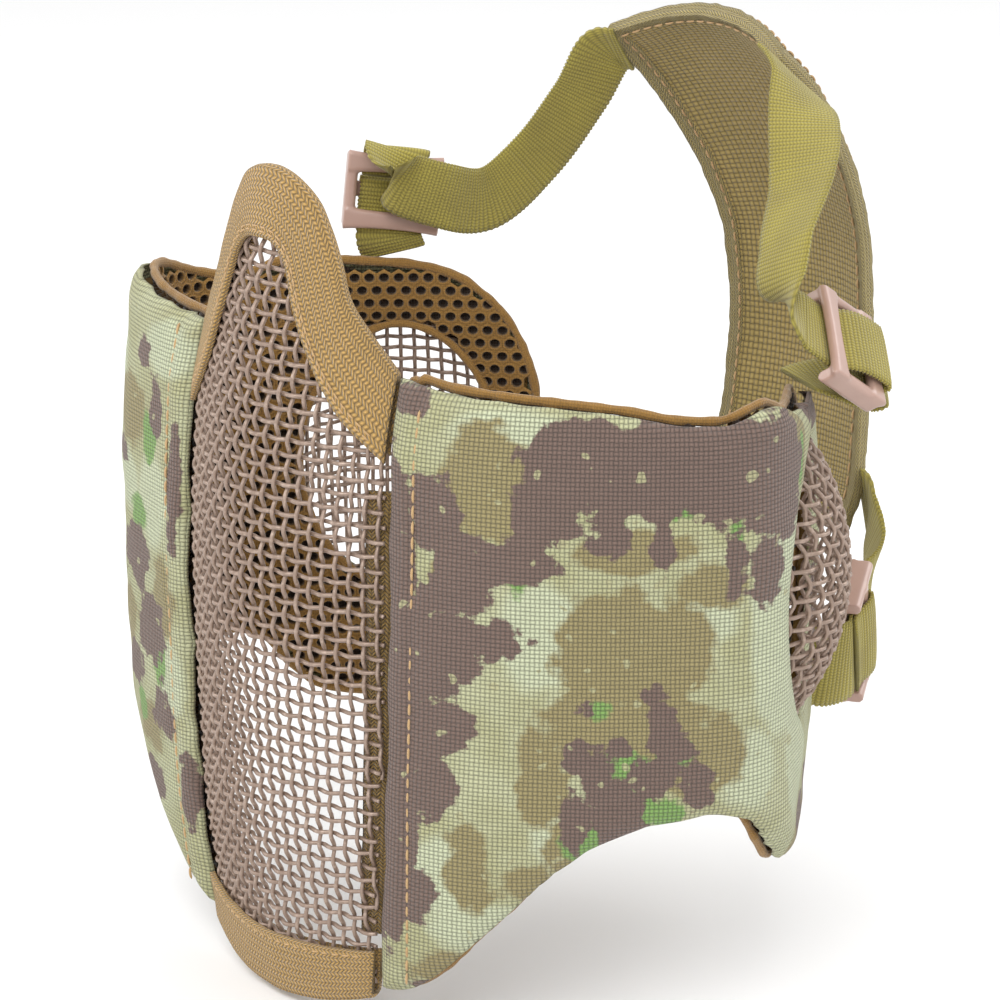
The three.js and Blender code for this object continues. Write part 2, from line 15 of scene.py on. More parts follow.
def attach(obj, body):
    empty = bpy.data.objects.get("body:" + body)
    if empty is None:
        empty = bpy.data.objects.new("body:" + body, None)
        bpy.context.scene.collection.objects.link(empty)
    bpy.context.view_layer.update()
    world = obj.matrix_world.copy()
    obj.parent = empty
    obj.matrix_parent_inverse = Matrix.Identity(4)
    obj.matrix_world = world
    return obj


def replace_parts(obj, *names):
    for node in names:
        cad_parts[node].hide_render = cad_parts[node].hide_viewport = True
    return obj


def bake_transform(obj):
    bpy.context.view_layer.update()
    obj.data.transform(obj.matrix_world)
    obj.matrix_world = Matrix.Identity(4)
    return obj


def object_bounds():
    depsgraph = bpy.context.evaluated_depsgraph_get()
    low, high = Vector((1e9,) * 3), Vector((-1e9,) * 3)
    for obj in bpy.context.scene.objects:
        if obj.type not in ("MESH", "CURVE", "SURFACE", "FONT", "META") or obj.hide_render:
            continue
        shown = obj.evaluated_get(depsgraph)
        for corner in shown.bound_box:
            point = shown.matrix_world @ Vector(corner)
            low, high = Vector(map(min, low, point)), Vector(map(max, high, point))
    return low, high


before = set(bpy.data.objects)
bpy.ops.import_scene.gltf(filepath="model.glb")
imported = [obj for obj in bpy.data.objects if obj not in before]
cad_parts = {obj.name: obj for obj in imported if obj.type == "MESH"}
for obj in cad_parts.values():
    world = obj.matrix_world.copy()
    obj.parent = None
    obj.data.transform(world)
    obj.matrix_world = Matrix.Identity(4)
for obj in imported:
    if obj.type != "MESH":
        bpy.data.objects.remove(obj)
cad_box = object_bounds()
MM = 0.001

# ---------------------------------------------------------------- driving dimensions, as in the CAD
WIRE = 0.95          # wire diameter; the CAD has one perforated sheet 1.0 thick instead
WIRE_PITCH = 3.0     # wire to wire
GAP = 0.3
CHIN_Z = -93
CHIN_RISE = 5
RIDGE_POWER = 1.8
FRONT_SECTIONS = [
    [-93, 26.2, -84.3, -90.0], [-50, 31.0, -86.5, -96.0], [0, 33.0, -86.5, -98.0],
    [24, 32.0, -85.5, -96.8], [42, 31.0, -82.0, -95.2], [80, 24.0, -76.0, -89.0]]
NOSE_OUTER = [[31, 41.4], [26, 47.5], [20.9, 54], [17, 63], [11.5, 73], [6, 77.6], [0, 79]]
NOSE_INNER = [[31.6, 25], [22.5, 33], [15.5, 43], [10.3, 54], [7.4, 61.5], [4.2, 64.8], [0, 65.5]]
CHIN_BAND = 12.5
SEAM = (33, -83)
HEADINGS = {
    "left": [[0, 82], [15, 62], [30, 46], [57, 36], [66, 22], [75, -10], [86, -34], [104, -43],
             [124, -41], [131, -34], [137, -22], [152, -20]],
    "right": [[0, 84], [22, 76], [36, 54], [50, 12], [62, -12], [86, -28], [110, -42], [152, -52]]}
LIFT = {
    "left": [[0, 0], [70, 0], [90, -5.5], [116, -5.5], [136, 0]],
    "right": [[0, 0], [20, 3], [42, 7], [72, 3], [100, 2.5], [124, 1], [136, 0]]}
SIGN = {"left": 1, "right": -1}
PANEL_START = 1.6
PANEL_END = 136
SEAM_FADE = 60
PANEL_BULGE = 2
PANEL_OUTLINE = [
    [0, 42, -87], [7, 41.2, -85], [12, 40.6, -81], [22, 40, -69], [36, 39, -53.5], [46, 38, -47],
    [56, 36.2, -44], [64, 35.8, -43], [71, 37.5, -45], [78, 39.5, -52.5], [86, 39.5, -58.5], [96, 39, -60],
    [108, 38.5, -57.5], [116, 37, -54], [124, 32.5, -50], [130, 26, -46], [134, 17, -41.5], [136, 8, -37]]
EAR_S, EAR_Z, EAR_HALF_WIDTH, EAR_HALF_HEIGHT, EAR_POWER, EAR_DOME = 104, -3.5, 23, 30.5, 1.9, 10
EAR_FLANGE = 2.2
UPPER_WEB = 15
LOWER_WEB = 20
WEB_THICK = 1.2
BUCKLE = {
    "length": 17, "rail": 2.4, "end_bar": 4.0, "end_thick": 1.9, "centre_bar": 3.4, "centre_thick": 1.7}
PAD_LINE = [
    [56, -17, 22], [59.5, -8, 23], [62.5, 8, 21.8], [64, 28, 21.5], [62.5, 47, 22.2], [57, 64, 24],
    [47.5, 80, 26], [37.5, 92.5, 27.5], [28.5, 100.5, 27.5]]
PAD_THICK = 3.2
PAD_DISH = (4.5, 9)


# ---------------------------------------------------------------- curves
class Curve:
    """Smooth monotone value through rows [x, value, ...]."""

    def __init__(self, rows, column=1):
        self.x = np.array([r[0] for r in rows], float)
        self.y = np.array([r[column] for r in rows], float)
        slope = np.diff(self.y) / np.diff(self.x)
        self.m = np.empty(len(self.x))
        self.m[0], self.m[-1] = slope[0], slope[-1]
        before, after = slope[:-1], slope[1:]
        total = np.where(before * after > 0, before + after, 1)
        self.m[1:-1] = np.where(before * after > 0, 2 * before * after / total, 0)

    def __call__(self, at):
        x = np.clip(np.asarray(at, float), self.x[0], self.x[-1])
        i = np.clip(np.searchsorted(self.x, x, side="right") - 1, 0, len(self.x) - 2)
        h = self.x[i + 1] - self.x[i]
        t = (x - self.x[i]) / h
        a, b = self.y[i], self.y[i + 1]
        return (a * (1 + 2 * t) * (1 - t) ** 2 + h * self.m[i] * t * (1 - t) ** 2
                + b * t * t * (3 - 2 * t) + h * self.m[i + 1] * t * t * (t - 1))


def catmull(points, ts):
    """Centripetal Catmull-Rom curve through points, at each t from 0 to 1."""
    p = np.array(points, float)
    last = len(p) - 1
    ends = np.vstack([2 * p[0] - p[1], p, 2 * p[-1] - p[-2]])
    out = []
    for t in np.clip(ts, 0, 1):
        i = min(int(t * last), last - 1)
        w = t * last - i
        a, b, c, d = ends[i:i + 4]
        k0, k1, k2 = (max(np.dot(q - r, q - r) ** 0.25, 1e-4) for q, r in ((b, a), (c, b), (d, c)))
        t1 = ((b - a) / k0 - (c - a) / (k0 + k1) + (c - b) / k1) * k1
        t2 = ((c - b) / k1 - (d - b) / (k1 + k2) + (d - c) / k2) * k1
        out.append(b + t1 * w + (3 * (c - b) - 2 * t1 - t2) * w ** 2 + (2 * (b - c) + t1 + t2) * w ** 3)
    return np.array(out)


def unit(v):
    v = np.asarray(v, float)
    return v / np.maximum(np.linalg.norm(v, axis=-1, keepdims=True), 1e-12)


def lerp(a, b, t):
    return a + (b - a) * t


def spread(*values):
    """The values as float arrays of one shape."""
    return np.broadcast_arrays(*(np.asarray(value, float) for value in values))


def circle(count):
    """Angles evenly round a full turn."""
    return np.linspace(0, 2 * np.pi, count, endpoint=False)


def in_plane(points):
    """(s, z) points with a third coordinate of 0, as noise needs."""
    return np.column_stack([points, np.zeros(len(points))])


def lengths(points):
    """Distance along a line of points, from the first."""
    return np.concatenate([[0], np.cumsum(np.linalg.norm(np.diff(points, axis=0), axis=1))])


def sample(at, run, values):
    """Rows of values read at distances along a line whose rows lie at run."""
    return np.stack([np.interp(at, run, column) for column in values.T], axis=1)


def evenly(points, step):
    """The same line with points about every step."""
    run = lengths(points)
    return sample(np.linspace(0, run[-1], max(int(run[-1] / step), 2) + 1), run, points)


def wobble(points, scale, amount, seed=0.0):
    """Soft seeded unevenness, one value for each point."""
    places = (Vector((x / scale + seed, y / scale, z / scale)) for x, y, z in points)
    return np.array([noise.noise(place) for place in places]) * amount


# ---------------------------------------------------------------- the front dome
HALF = Curve(FRONT_SECTIONS, 1)
SEAM_Y = Curve(FRONT_SECTIONS, 2)
RIDGE_Y = Curve(FRONT_SECTIONS, 3)
NOSE_EDGE = Curve([[z, x] for x, z in NOSE_OUTER])


def front_y(x, z):
    return RIDGE_Y(z) + (SEAM_Y(z) - RIDGE_Y(z)) * np.abs(x / HALF(z)) ** RIDGE_POWER


def front_point(x, z, d):
    x, z, d = spread(x, z, d)
    step = 0.5
    slope_x = (front_y(x + step, z) - front_y(x - step, z)) / (2 * step)
    slope_z = (front_y(x, z + step) - front_y(x, z - step)) / (2 * step)
    normal = unit(np.stack([slope_x, -np.ones_like(x), slope_z], axis=-1))
    return np.stack([x, front_y(x, z), z], axis=-1) + normal * d[..., None]


def wire_half_width(z):
    return np.where(z > NOSE_OUTER[0][1], np.minimum(HALF(z) - GAP, NOSE_EDGE(z) - 1), HALF(z) - GAP)


# ---------------------------------------------------------------- the cheek panels
class Panel:
    def __init__(self, name):
        self.name = name
        self.sign = SIGN[name]
        self.heading = Curve(HEADINGS[name])
        self.lift = Curve(LIFT[name])
        middle = np.radians(self.heading(np.arange(175) + 0.5))
        self.x = SEAM[0] + np.concatenate([[0], np.cumsum(np.sin(middle))])
        self.y = SEAM[1] + np.concatenate([[0], np.cumsum(np.cos(middle))])
        self.along_s = np.arange(176)

    def outward(self, s):
        h = np.radians(self.heading(s))
        return np.stack([self.sign * np.cos(h), -np.sin(h), np.zeros_like(h)], axis=-1)

    def point(self, s, z, d):
        s, z, d = spread(s, z, d)
        x = np.interp(s, self.along_s, self.x)
        y = np.interp(s, self.along_s, self.y)
        fade = np.maximum(0, 1 - s / SEAM_FADE) ** 2
        x = x + fade * (HALF(z) - SEAM[0])
        y = y + fade * (SEAM_Y(z) - SEAM[1])
        swell = PANEL_BULGE * np.sin(np.pi * np.clip(s / 84, 0, 1)) * np.maximum(0, 1 - ((z + 5) / 75) ** 2)
        return np.stack([self.sign * x, y, z], axis=-1) + self.outward(s) * (d + swell)[..., None]

    def top(self, s):
        return TOP(s) + self.lift(s)


TOP = Curve(PANEL_OUTLINE, 1)
BOTTOM = Curve(PANEL_OUTLINE, 2)
PANELS = {name: Panel(name) for name in SIGN}


def panel_outline(panel, inset=0.0, step=1.0):
    """Closed loop of (s, z) round a cheek panel, inset from its edge."""
    s = np.arange(PANEL_START + inset, PANEL_END - inset, step)
    front = np.linspace(BOTTOM(s[0]) + inset, panel.top(s[0]) - inset, 120)
    rear = np.linspace(panel.top(s[-1]) - inset, BOTTOM(s[-1]) + inset, 45)
    loop = [np.stack([np.full_like(front, s[0]), front], 1), np.stack([s, panel.top(s) - inset], 1),
            np.stack([np.full_like(rear, s[-1]), rear], 1), np.stack([s, BOTTOM(s) + inset], 1)[::-1]]
    line = np.vstack(loop)
    return evenly(np.vstack([line, line[:1]]), step)[:-1]


def ear_measure(s, z, grow=0.0):
    """1 on the ear opening's outline, under 1 inside it."""
    x = np.abs(s - EAR_S) / (EAR_HALF_WIDTH + grow)
    y = np.abs(z - EAR_Z) / (EAR_HALF_HEIGHT + grow)
    return (x ** EAR_POWER + y ** EAR_POWER) ** (1 / EAR_POWER)


def ear_outline(grow, count):
    c, s = np.cos(circle(count)), np.sin(circle(count))
    x = np.sign(c) * np.abs(c) ** (2 / EAR_POWER) * (EAR_HALF_WIDTH + grow)
    z = np.sign(s) * np.abs(s) ** (2 / EAR_POWER) * (EAR_HALF_HEIGHT + grow)
    return evenly(np.stack([np.append(x, x[0]) + EAR_S, np.append(z, z[0]) + EAR_Z], 1), 1.0)[:-1]


def nearest(points, line):
    """Distance in the panel's plane from each point to a closed loop of points."""
    out = np.empty(len(points))
    for i in range(0, len(points), 2000):
        part = points[i:i + 2000, None, :] - line[None]
        out[i:i + 2000] = np.sqrt((part ** 2).sum(-1)).min(1)
    return out


# ---------------------------------------------------------------- mesh building
def add(name, data):
    obj = bpy.data.objects.new(name, data)
    bpy.context.scene.collection.objects.link(obj)
    return obj


def make(name, points, faces, material, uv=None, attributes=None, smooth=True):
    """Mesh object from millimetre points. uv is one (u, v) in millimetres for each face corner."""
    mesh = bpy.data.meshes.new(name)
    mesh.from_pydata((np.asarray(points) * MM).tolist(), [], [list(f) for f in faces])
    if uv is not None:
        layer = mesh.uv_layers.new(name="UVMap")
        layer.data.foreach_set("uv", np.asarray(uv, np.float32).ravel())
    for key, values in (attributes or {}).items():
        mesh.attributes.new(key, "FLOAT", "POINT").data.foreach_set("value", np.asarray(values, np.float32))
    mesh.polygons.foreach_set("use_smooth", [smooth] * len(mesh.polygons))
    mesh.materials.append(material)
    mesh.update()
    return add(name, mesh)


def face_out(obj):
    b = bmesh.new()
    b.from_mesh(obj.data)
    bmesh.ops.recalc_face_normals(b, faces=b.faces)
    b.to_mesh(obj.data)
    b.free()
    return obj


def corner_uv(faces, vertex_uv):
    return vertex_uv[np.concatenate([np.asarray(f) for f in faces])]


def grid_quads(rows, columns):
    """Quads of a grid with rows by columns cells, points in row order."""
    a = (np.arange(rows)[:, None] * (columns + 1) + np.arange(columns)[None]).ravel()
    return np.stack([a, a + 1, a + columns + 2, a + columns + 1], 1)


class Batch:
    """Several closed pieces gathered into one mesh."""

    def __init__(self):
        self.points, self.faces, self.uv, self.count = [], [], [], 0

    def tube(self, rings, closed=False, u=None):
        """Rings of points, N by K by 3, joined into a tube with flat ends."""
        n, k = rings.shape[:2]
        a = np.arange(n if closed else n - 1)[:, None]
        b = np.arange(k)[None]
        a2, b2 = (a + 1) % n, (b + 1) % k
        quads = np.stack([a * k + b, a2 * k + b, a2 * k + b2, a * k + b2], -1).reshape(-1, 4)
        width = np.concatenate([lengths(rings[n // 2]), [0]])
        width[k] = width[k - 1] + np.linalg.norm(rings[n // 2, 0] - rings[n // 2, -1])
        middle = rings.mean(1)
        long = lengths(np.vstack([middle, middle[:1]])) if u is None else np.append(u, u[-1])
        us = np.stack([long[a] + 0 * b, long[a + 1] + 0 * b, long[a + 1] + 0 * b, long[a] + 0 * b], -1)
        vs = np.stack([width[b] + 0 * a, width[b] + 0 * a, width[b + 1] + 0 * a, width[b + 1] + 0 * a], -1)
        self.faces += (quads + self.count).tolist()
        self.uv.append(np.stack([us, vs], -1).reshape(-1, 2))
        if not closed:
            for ring, order in ((0, list(range(k))), (n - 1, list(range(k - 1, -1, -1)))):
                self.faces.append([self.count + ring * k + i for i in order])
                self.uv.append(np.stack([np.full(k, long[ring]), width[order]], -1))
        self.points.append(rings.reshape(-1, 3))
        self.count += n * k
        return self

    def build(self, name, material, outward=True, attributes=None):
        obj = make(name, np.vstack(self.points), self.faces, material, np.vstack(self.uv), attributes)
        return face_out(obj) if outward else obj


def ring_frames(path, normals):
    """Direction across and normal at each point of a path."""
    tangent = unit(np.gradient(path, axis=0))
    across = unit(np.cross(tangent, normals))
    return across, unit(np.cross(across, tangent))


def round_rings(path, normals, across_radius, normal_radius, sides=8):
    across, up = ring_frames(path, normals)
    angle = circle(sides)
    a = np.broadcast_to(np.asarray(across_radius, float), (len(path),))[:, None, None]
    b = np.broadcast_to(np.asarray(normal_radius, float), (len(path),))[:, None, None]
    return (path[:, None] + across[:, None] * a * np.cos(angle)[None, :, None]
            + up[:, None] * b * np.sin(angle)[None, :, None])


# ---------------------------------------------------------------- materials
class Shader:
    """Small helper for building a node material."""

    def __init__(self, name, rough, sheen=0.0, metallic=0.0, specular=0.5, coat=0.0):
        self.material = bpy.data.materials.new(name)
        self.material.use_nodes = True
        self.tree = self.material.node_tree
        self.bsdf = self.tree.nodes["Principled BSDF"]
        for socket, value in (("Roughness", rough), ("Sheen Weight", sheen), ("Metallic", metallic),
                              ("Specular IOR Level", specular), ("Coat Weight", coat)):
            self.bsdf.inputs[socket].default_value = value

    def plug(self, socket, value):
        if isinstance(value, bpy.types.NodeSocket):
            self.tree.links.new(value, socket)
        elif value is not None:
            socket.default_value = value

    def node(self, kind, out=0, settings=None, **inputs):
        n = self.tree.nodes.new(kind)
        for key, value in (settings or {}).items():
            setattr(n, key, value)
        for key, value in inputs.items():
            self.plug(n.inputs[key.replace("_", " ")], value)
        return n.outputs[out]

    def math(self, operation, a, b=None, c=None):
        n = self.tree.nodes.new("ShaderNodeMath")
        n.operation = operation
        for socket, value in zip(n.inputs, (a, b, c)):
            self.plug(socket, value)
        return n.outputs[0]

    def attribute(self, name):
        return self.node("ShaderNodeAttribute", out=2, settings={"attribute_name": name})

    def uv(self):
        """(u, v) in millimetres."""
        split = self.tree.nodes.new("ShaderNodeSeparateXYZ")
        self.plug(split.inputs[0], self.node("ShaderNodeUVMap", settings={"uv_map": "UVMap"}))
        return split.outputs[0], split.outputs[1]

    def noise(self, scale, detail=2.0, vector=None, rough=0.5):
        """Noise from 0 to 1; scale is features per millimetre of object space."""
        if vector is None:
            place = self.node("ShaderNodeTexCoord", out=3)
            vector = self.node("ShaderNodeVectorMath", settings={"operation": "MULTIPLY"})
            multiply = vector.node
            self.plug(multiply.inputs[0], place)
            multiply.inputs[1].default_value = (1000, 1000, 1000)
        return self.node("ShaderNodeTexNoise", Vector=vector, Scale=scale, Detail=detail, Roughness=rough)

    def wave(self, value, pitch):
        """|sin| with one hump for each pitch."""
        return self.math("ABSOLUTE", self.math("SINE", self.math("MULTIPLY", value, math.pi / pitch)))

    def scaled(self, value, gain, base):
        return self.math("MULTIPLY_ADD", value, gain, base)

    def ramp(self, value, low, high):
        return self.node("ShaderNodeMapRange", settings={"clamp": True}, Value=value,
                         From_Min=low, From_Max=high)

    def mix(self, share, a, b):
        n = self.tree.nodes.new("ShaderNodeMix")
        n.data_type = "RGBA"
        for socket, value in ((n.inputs[0], share), (n.inputs[6], a), (n.inputs[7], b)):
            colour = not isinstance(value, (bpy.types.NodeSocket, float, int))
            self.plug(socket, (*value, 1) if colour else value)
        return n.outputs[2]

    def shade(self, colour, value):
        """Colour times value."""
        n = self.tree.nodes.new("ShaderNodeVectorMath")
        n.operation = "SCALE"
        self.plug(n.inputs[0], colour)
        self.plug(n.inputs[3], value)
        return n.outputs[0]

    def weave(self, u, v, pitch_u, pitch_v):
        """Height of a plain weave, 0 in the gaps to 1 on the threads' crowns."""
        a, b = self.wave(u, pitch_u), self.wave(v, pitch_v)
        over = self.math("GREATER_THAN", self.math("MULTIPLY", self.math(
            "SINE", self.math("MULTIPLY", u, math.pi / pitch_u)), self.math(
            "SINE", self.math("MULTIPLY", v, math.pi / pitch_v))), 0.0)
        warp = self.math("MULTIPLY", self.math("POWER", a, 0.5), self.scaled(b, 0.35, 0.65))
        weft = self.math("MULTIPLY", self.math("POWER", b, 0.5), self.scaled(a, 0.35, 0.65))
        return self.math("ADD", self.math("MULTIPLY", over, warp),
                         self.math("MULTIPLY", self.math("SUBTRACT", 1.0, over), weft))

    def finish(self, colour, height=None, depth=0.2, strength=0.6):
        """Connect colour and a bump whose full height is depth millimetres."""
        self.plug(self.bsdf.inputs["Base Color"], colour)
        if height is not None:
            self.plug(self.bsdf.inputs["Normal"], self.node(
                "ShaderNodeBump", Height=height, Distance=depth * MM, Strength=strength))
        return self.material


def rgb(code):
    """Linear colour from a hex sRGB code."""
    parts = [int(code[i:i + 2], 16) / 255 for i in (0, 2, 4)]
    return tuple(c / 12.92 if c <= 0.04045 else ((c + 0.055) / 1.055) ** 2.4 for c in parts)


def lighter(code, factor):
    return tuple(min(c * factor, 1) for c in rgb(code))


def wire_material():
    s = Shader("coated_wire", rough=0.38, metallic=0.35, specular=0.6)
    # painted highlight: the wires lighter in small random patches
    painted_highlight = s.ramp(s.noise(0.9, 3), 0.5, 0.72)
    fine = s.noise(6.0, 2)
    colour = s.mix(painted_highlight, rgb("947f71"), rgb("b39e8f"))
    # painted shade: the colour darker in the dips of the fine bump noise and lighter on its rises
    return s.finish(s.shade(colour, s.scaled(fine, 0.25, 0.88)), fine, depth=0.05, strength=0.4)


def binding_material(name, colour_code, pitch=1.15, slant=1.0):
    """Chevron-knitted elastic, with painted shade in the gaps of the knit."""
    s = Shader(name, rough=0.92, sheen=0.25)
    u, v = s.uv()
    zig = s.math("PINGPONG", v, pitch)
    rows = s.wave(s.scaled(zig, slant, u), pitch)
    columns = s.wave(v, pitch)
    height = s.math("MULTIPLY", s.scaled(rows, 0.65, 0.35), s.scaled(columns, 0.4, 0.6))
    tone = s.mix(s.noise(0.25, 3), rgb(colour_code), lighter(colour_code, 1.18))
    # painted shade: near black in the gaps between stitches, lighter on their crowns
    colour = s.shade(tone, s.scaled(height, 1.25, 0.08))
    return s.finish(colour, height, depth=0.7, strength=1.0)


# each printed colour from the bottom up, the dark one also carrying some painted shade: name, jag in
# millimetres, jag scale, edge softness, colour
CAMO_LAYERS = [
    ("camo_pale", 5, 0.15, 1.2, "b3b899"), ("camo_khaki", 12, 0.16, 1.0, "8a7f57"),
    ("camo_green", 5, 0.35, 0.5, "72934f"), ("camo_dark_print_and_shade", 11, 0.20, 0.35, "6b584f")]


def camo_material():
    s = Shader("camo_nylon", rough=0.82, sheen=0.12)
    u, v = s.uv()
    place = s.node("ShaderNodeCombineXYZ", X=u, Y=v)

    def field(name, amount, scale):
        jag = s.math("SUBTRACT", s.noise(scale, 4.0, vector=place, rough=0.6), 0.5)
        return s.scaled(jag, amount, s.attribute(name))

    colour = s.mix(s.ramp(s.noise(0.07, 2, vector=place), 0.42, 0.6), rgb("a09f78"), rgb("aaab88"))
    for name, amount, scale, soft, code in CAMO_LAYERS:
        colour = s.mix(s.ramp(field(name, amount, scale), soft, -soft), colour, rgb(code))
    flecks = s.ramp(s.noise(0.24, 1.5, vector=place), 0.68, 0.70)
    colour = s.mix(s.math("MULTIPLY", flecks, 0.8), colour, rgb("a3a07a"))
    height = s.weave(u, v, 0.86, 0.86)
    slub = s.noise(0.55, 3, vector=s.node("ShaderNodeCombineXYZ", X=s.math("MULTIPLY", u, 0.3), Y=s.math(
        "MULTIPLY", v, 3.0)))
    # painted shade: the print darkened in the weave's gaps and lightened on the threads' crowns; the slub noise
    # is the yarn's own uneven tone
    shade = s.math("MULTIPLY", s.scaled(height, 0.85, 0.36), s.scaled(slub, 0.4, 0.82))
    return s.finish(s.shade(colour, shade), height, depth=0.4, strength=1.0)


def lining_material():
    s = Shader("spacer_mesh", rough=0.95, sheen=0.3)
    u, v = s.uv()
    fibre = s.noise(1.6, 3)
    tone = s.mix(s.noise(0.12, 2), rgb("84602a"), rgb("9a7438"))
    # painted shade: near-black brown down in each pit of the spacer mesh
    colour = s.mix(s.math("POWER", s.attribute("pit"), 0.7), tone, rgb("2c1d10"))
    height = s.weave(u, v, 0.55, 0.55)
    # painted shade in the weave's gaps, with the fibre noise as the yarn's own tone
    shade = s.scaled(height, 0.3, s.scaled(fibre, 0.5, 0.5))
    return s.finish(s.shade(colour, shade), height, depth=0.18, strength=0.7)


def webbing_material(name, code, light_code):
    """Ribbed elastic: ribs across the tape with fine lengthwise yarns."""
    s = Shader(name, rough=0.8, sheen=0.2)
    u, v = s.uv()
    ribs = s.wave(u, 0.9)
    yarns = s.wave(s.scaled(s.math("PINGPONG", u, 0.9), 0.35, v), 0.7)
    height = s.math("MULTIPLY", s.scaled(ribs, 0.55, 0.45), s.scaled(yarns, 0.5, 0.5))
    tone = s.mix(s.noise(0.1, 2), rgb(code), rgb(light_code))
    # painted shade: darker in the grooves between ribs and yarns, lighter on their crowns
    colour = s.shade(tone, s.scaled(height, 1.0, 0.3))
    return s.finish(colour, height, depth=0.3, strength=0.8)


def plastic_material():
    s = Shader("moulded_plastic", rough=0.3, specular=0.55, coat=0.15)
    tone = s.mix(s.noise(0.12, 3), rgb("a58478"), rgb("bb9c8f"))
    return s.finish(tone, s.noise(1.4, 3), depth=0.04, strength=0.35)


def pad_material():
    """Basket-woven pad cloth."""
    s = Shader("basket_weave", rough=0.9, sheen=0.2)
    u, v = s.uv()
    height = s.weave(u, v, 1.25, 1.25)
    tone = s.mix(s.noise(0.08, 3), rgb("97854f"), rgb("a9935b"))
    fine = s.wave(s.math("ADD", u, v), 0.4)
    # painted shade: the cloth darkened in the weave's gaps and lighter on its crowns, with fine diagonal lines
    shade = s.scaled(height, 0.95, s.scaled(fine, 0.2, 0.12))
    return s.finish(s.shade(tone, shade), height, depth=0.5, strength=0.9)


def foam_material():
    s = Shader("open_foam", rough=1.0)
    cells = s.noise(1.5, 4)
    # painted shade: darker brown where the cell bump is low, lighter where it is high
    return s.finish(s.mix(cells, rgb("6a5026"), rgb("8a6c38")), cells, depth=0.6, strength=0.8)


def thread_material():
    s = Shader("thread", rough=0.7, sheen=0.2)
    u, v = s.uv()
    twist = s.wave(s.math("ADD", u, v), 0.35)
    # painted shade: the thread darker in the grooves of its twist, lighter on the ridges
    return s.finish(s.shade(s.mix(s.noise(0.8, 2), rgb("b59165"), rgb("cba978")),
                            s.scaled(twist, 0.4, 0.7)), twist, depth=0.08, strength=0.6)


def floor_material():
    s = Shader("pale_floor", rough=0.9, specular=0.2)
    return s.finish(s.mix(s.noise(0.002, 2), (0.86, 0.86, 0.86), (0.88, 0.88, 0.88)))


MATERIAL = {
    "wire": wire_material(),
    "binding": binding_material("knit_binding", "a8864c", pitch=0.95, slant=0.7),
    "tape": binding_material("seam_tape_knit", "927540", pitch=0.9),
    "camo": camo_material(),
    "lining": lining_material(),
    "webbing": webbing_material("elastic_webbing", "85793a", "a3973f"),
    "plastic": plastic_material(),
    "pad": pad_material(),
    "edging": binding_material("overlock", "a3925a", pitch=0.9, slant=1.6),
    "foam": foam_material(),
    "thread": thread_material(),
}


# ---------------------------------------------------------------- woven wire
def clear_runs(mask):
    """Start and end index of each unbroken run of True."""
    edges = np.flatnonzero(np.diff(np.concatenate([[0], mask.astype(int), [0]])))
    return [(a, b) for a, b in zip(edges[::2], edges[1::2]) if b - a > 3]


def woven(name, surface, inside, a_range, b_range, step=0.5):
    """Two sets of crimped wires, over and under each other, on surface(a, b, d)."""
    crimp = WIRE / 2 + 0.02
    batch = Batch()

    def lay(a, b, d):
        for lo, hi in clear_runs(inside(a, b)):
            path = surface(a[lo:hi], b[lo:hi], d[lo:hi])
            normal = surface(a[lo:hi], b[lo:hi], d[lo:hi] + 1) - path
            batch.tube(round_rings(path, unit(normal), WIRE / 2, WIRE / 2, 6))

    for j in range(math.ceil(b_range[0] / WIRE_PITCH), math.floor(b_range[1] / WIRE_PITCH) + 1):
        a = np.arange(a_range[0], a_range[1] + step, step)
        lay(a, np.full_like(a, j * WIRE_PITCH), crimp * np.cos(np.pi * a / WIRE_PITCH) * (-1) ** j)
    for i in range(math.ceil(a_range[0] / WIRE_PITCH), math.floor(a_range[1] / WIRE_PITCH) + 1):
        b = np.arange(b_range[0], b_range[1] + step, step)
        lay(np.full_like(b, i * WIRE_PITCH), b, -crimp * np.cos(np.pi * b / WIRE_PITCH) * (-1) ** i)
    return batch.build(name, MATERIAL["wire"], outward=False)


def front_wires():
    """The dome: wires at even heights and at even arc lengths from the ridge."""
    heights = np.linspace(CHIN_Z, NOSE_OUTER[-1][1], 90)
    across = np.linspace(0, 1, 60)
    rows = ((across * HALF(z), z) for z in heights)
    arcs = np.array([lengths(np.stack([x, front_y(x, z)], 1)) for x, z in rows])

    def x_of(a, z):
        row = np.clip((z - heights[0]) / (heights[1] - heights[0]), 0, len(heights) - 1.001)
        i = row.astype(int)
        out = np.empty_like(a)
        for k in range(len(a)):
            arc = lerp(arcs[i[k]], arcs[i[k] + 1], row[k] - i[k])
            past = max(abs(a[k]) - arc[-1], 0)
            out[k] = math.copysign(np.interp(abs(a[k]), arc, across) * HALF(z[k]) + past, a[k])
        return out

    def surface(a, b, d):
        return front_point(x_of(a, b), b, d)

    def inside(a, b):
        x = x_of(a, b)
        low = CHIN_Z + 1.5 + CHIN_RISE * (x / HALF(b)) ** 2
        return (np.abs(x) < wire_half_width(b) - 0.1) & (b > low) & (b < NOSE_OUTER[-1][1] - 2)

    obj = woven("front_wire_dome", surface, inside, (-42, 42), (CHIN_Z, NOSE_OUTER[-1][1]))
    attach(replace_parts(obj, "front_mesh"), "front")


def ear_rise(s, z):
    edge = (EAR_HALF_WIDTH - 1) / (EAR_HALF_WIDTH + EAR_FLANGE)
    reach = ear_measure(s, z, EAR_FLANGE)
    return EAR_DOME * np.maximum(0, 1 - (reach / edge) ** 2) ** 0.85


def ear_wires(panel):
    def surface(a, b, d):
        s, z = EAR_S + a, EAR_Z + b
        return panel.point(s, z, 1.4 + ear_rise(s, z) + d)

    def inside(a, b):
        return ear_measure(EAR_S + a, EAR_Z + b, EAR_FLANGE) < 0.99

    obj = woven(f"{panel.name}_ear_wires", surface, inside, (-26, 26), (-34, 34))
    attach(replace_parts(obj, f"{panel.name}_ear_mesh"), f"{panel.name}_cheek")


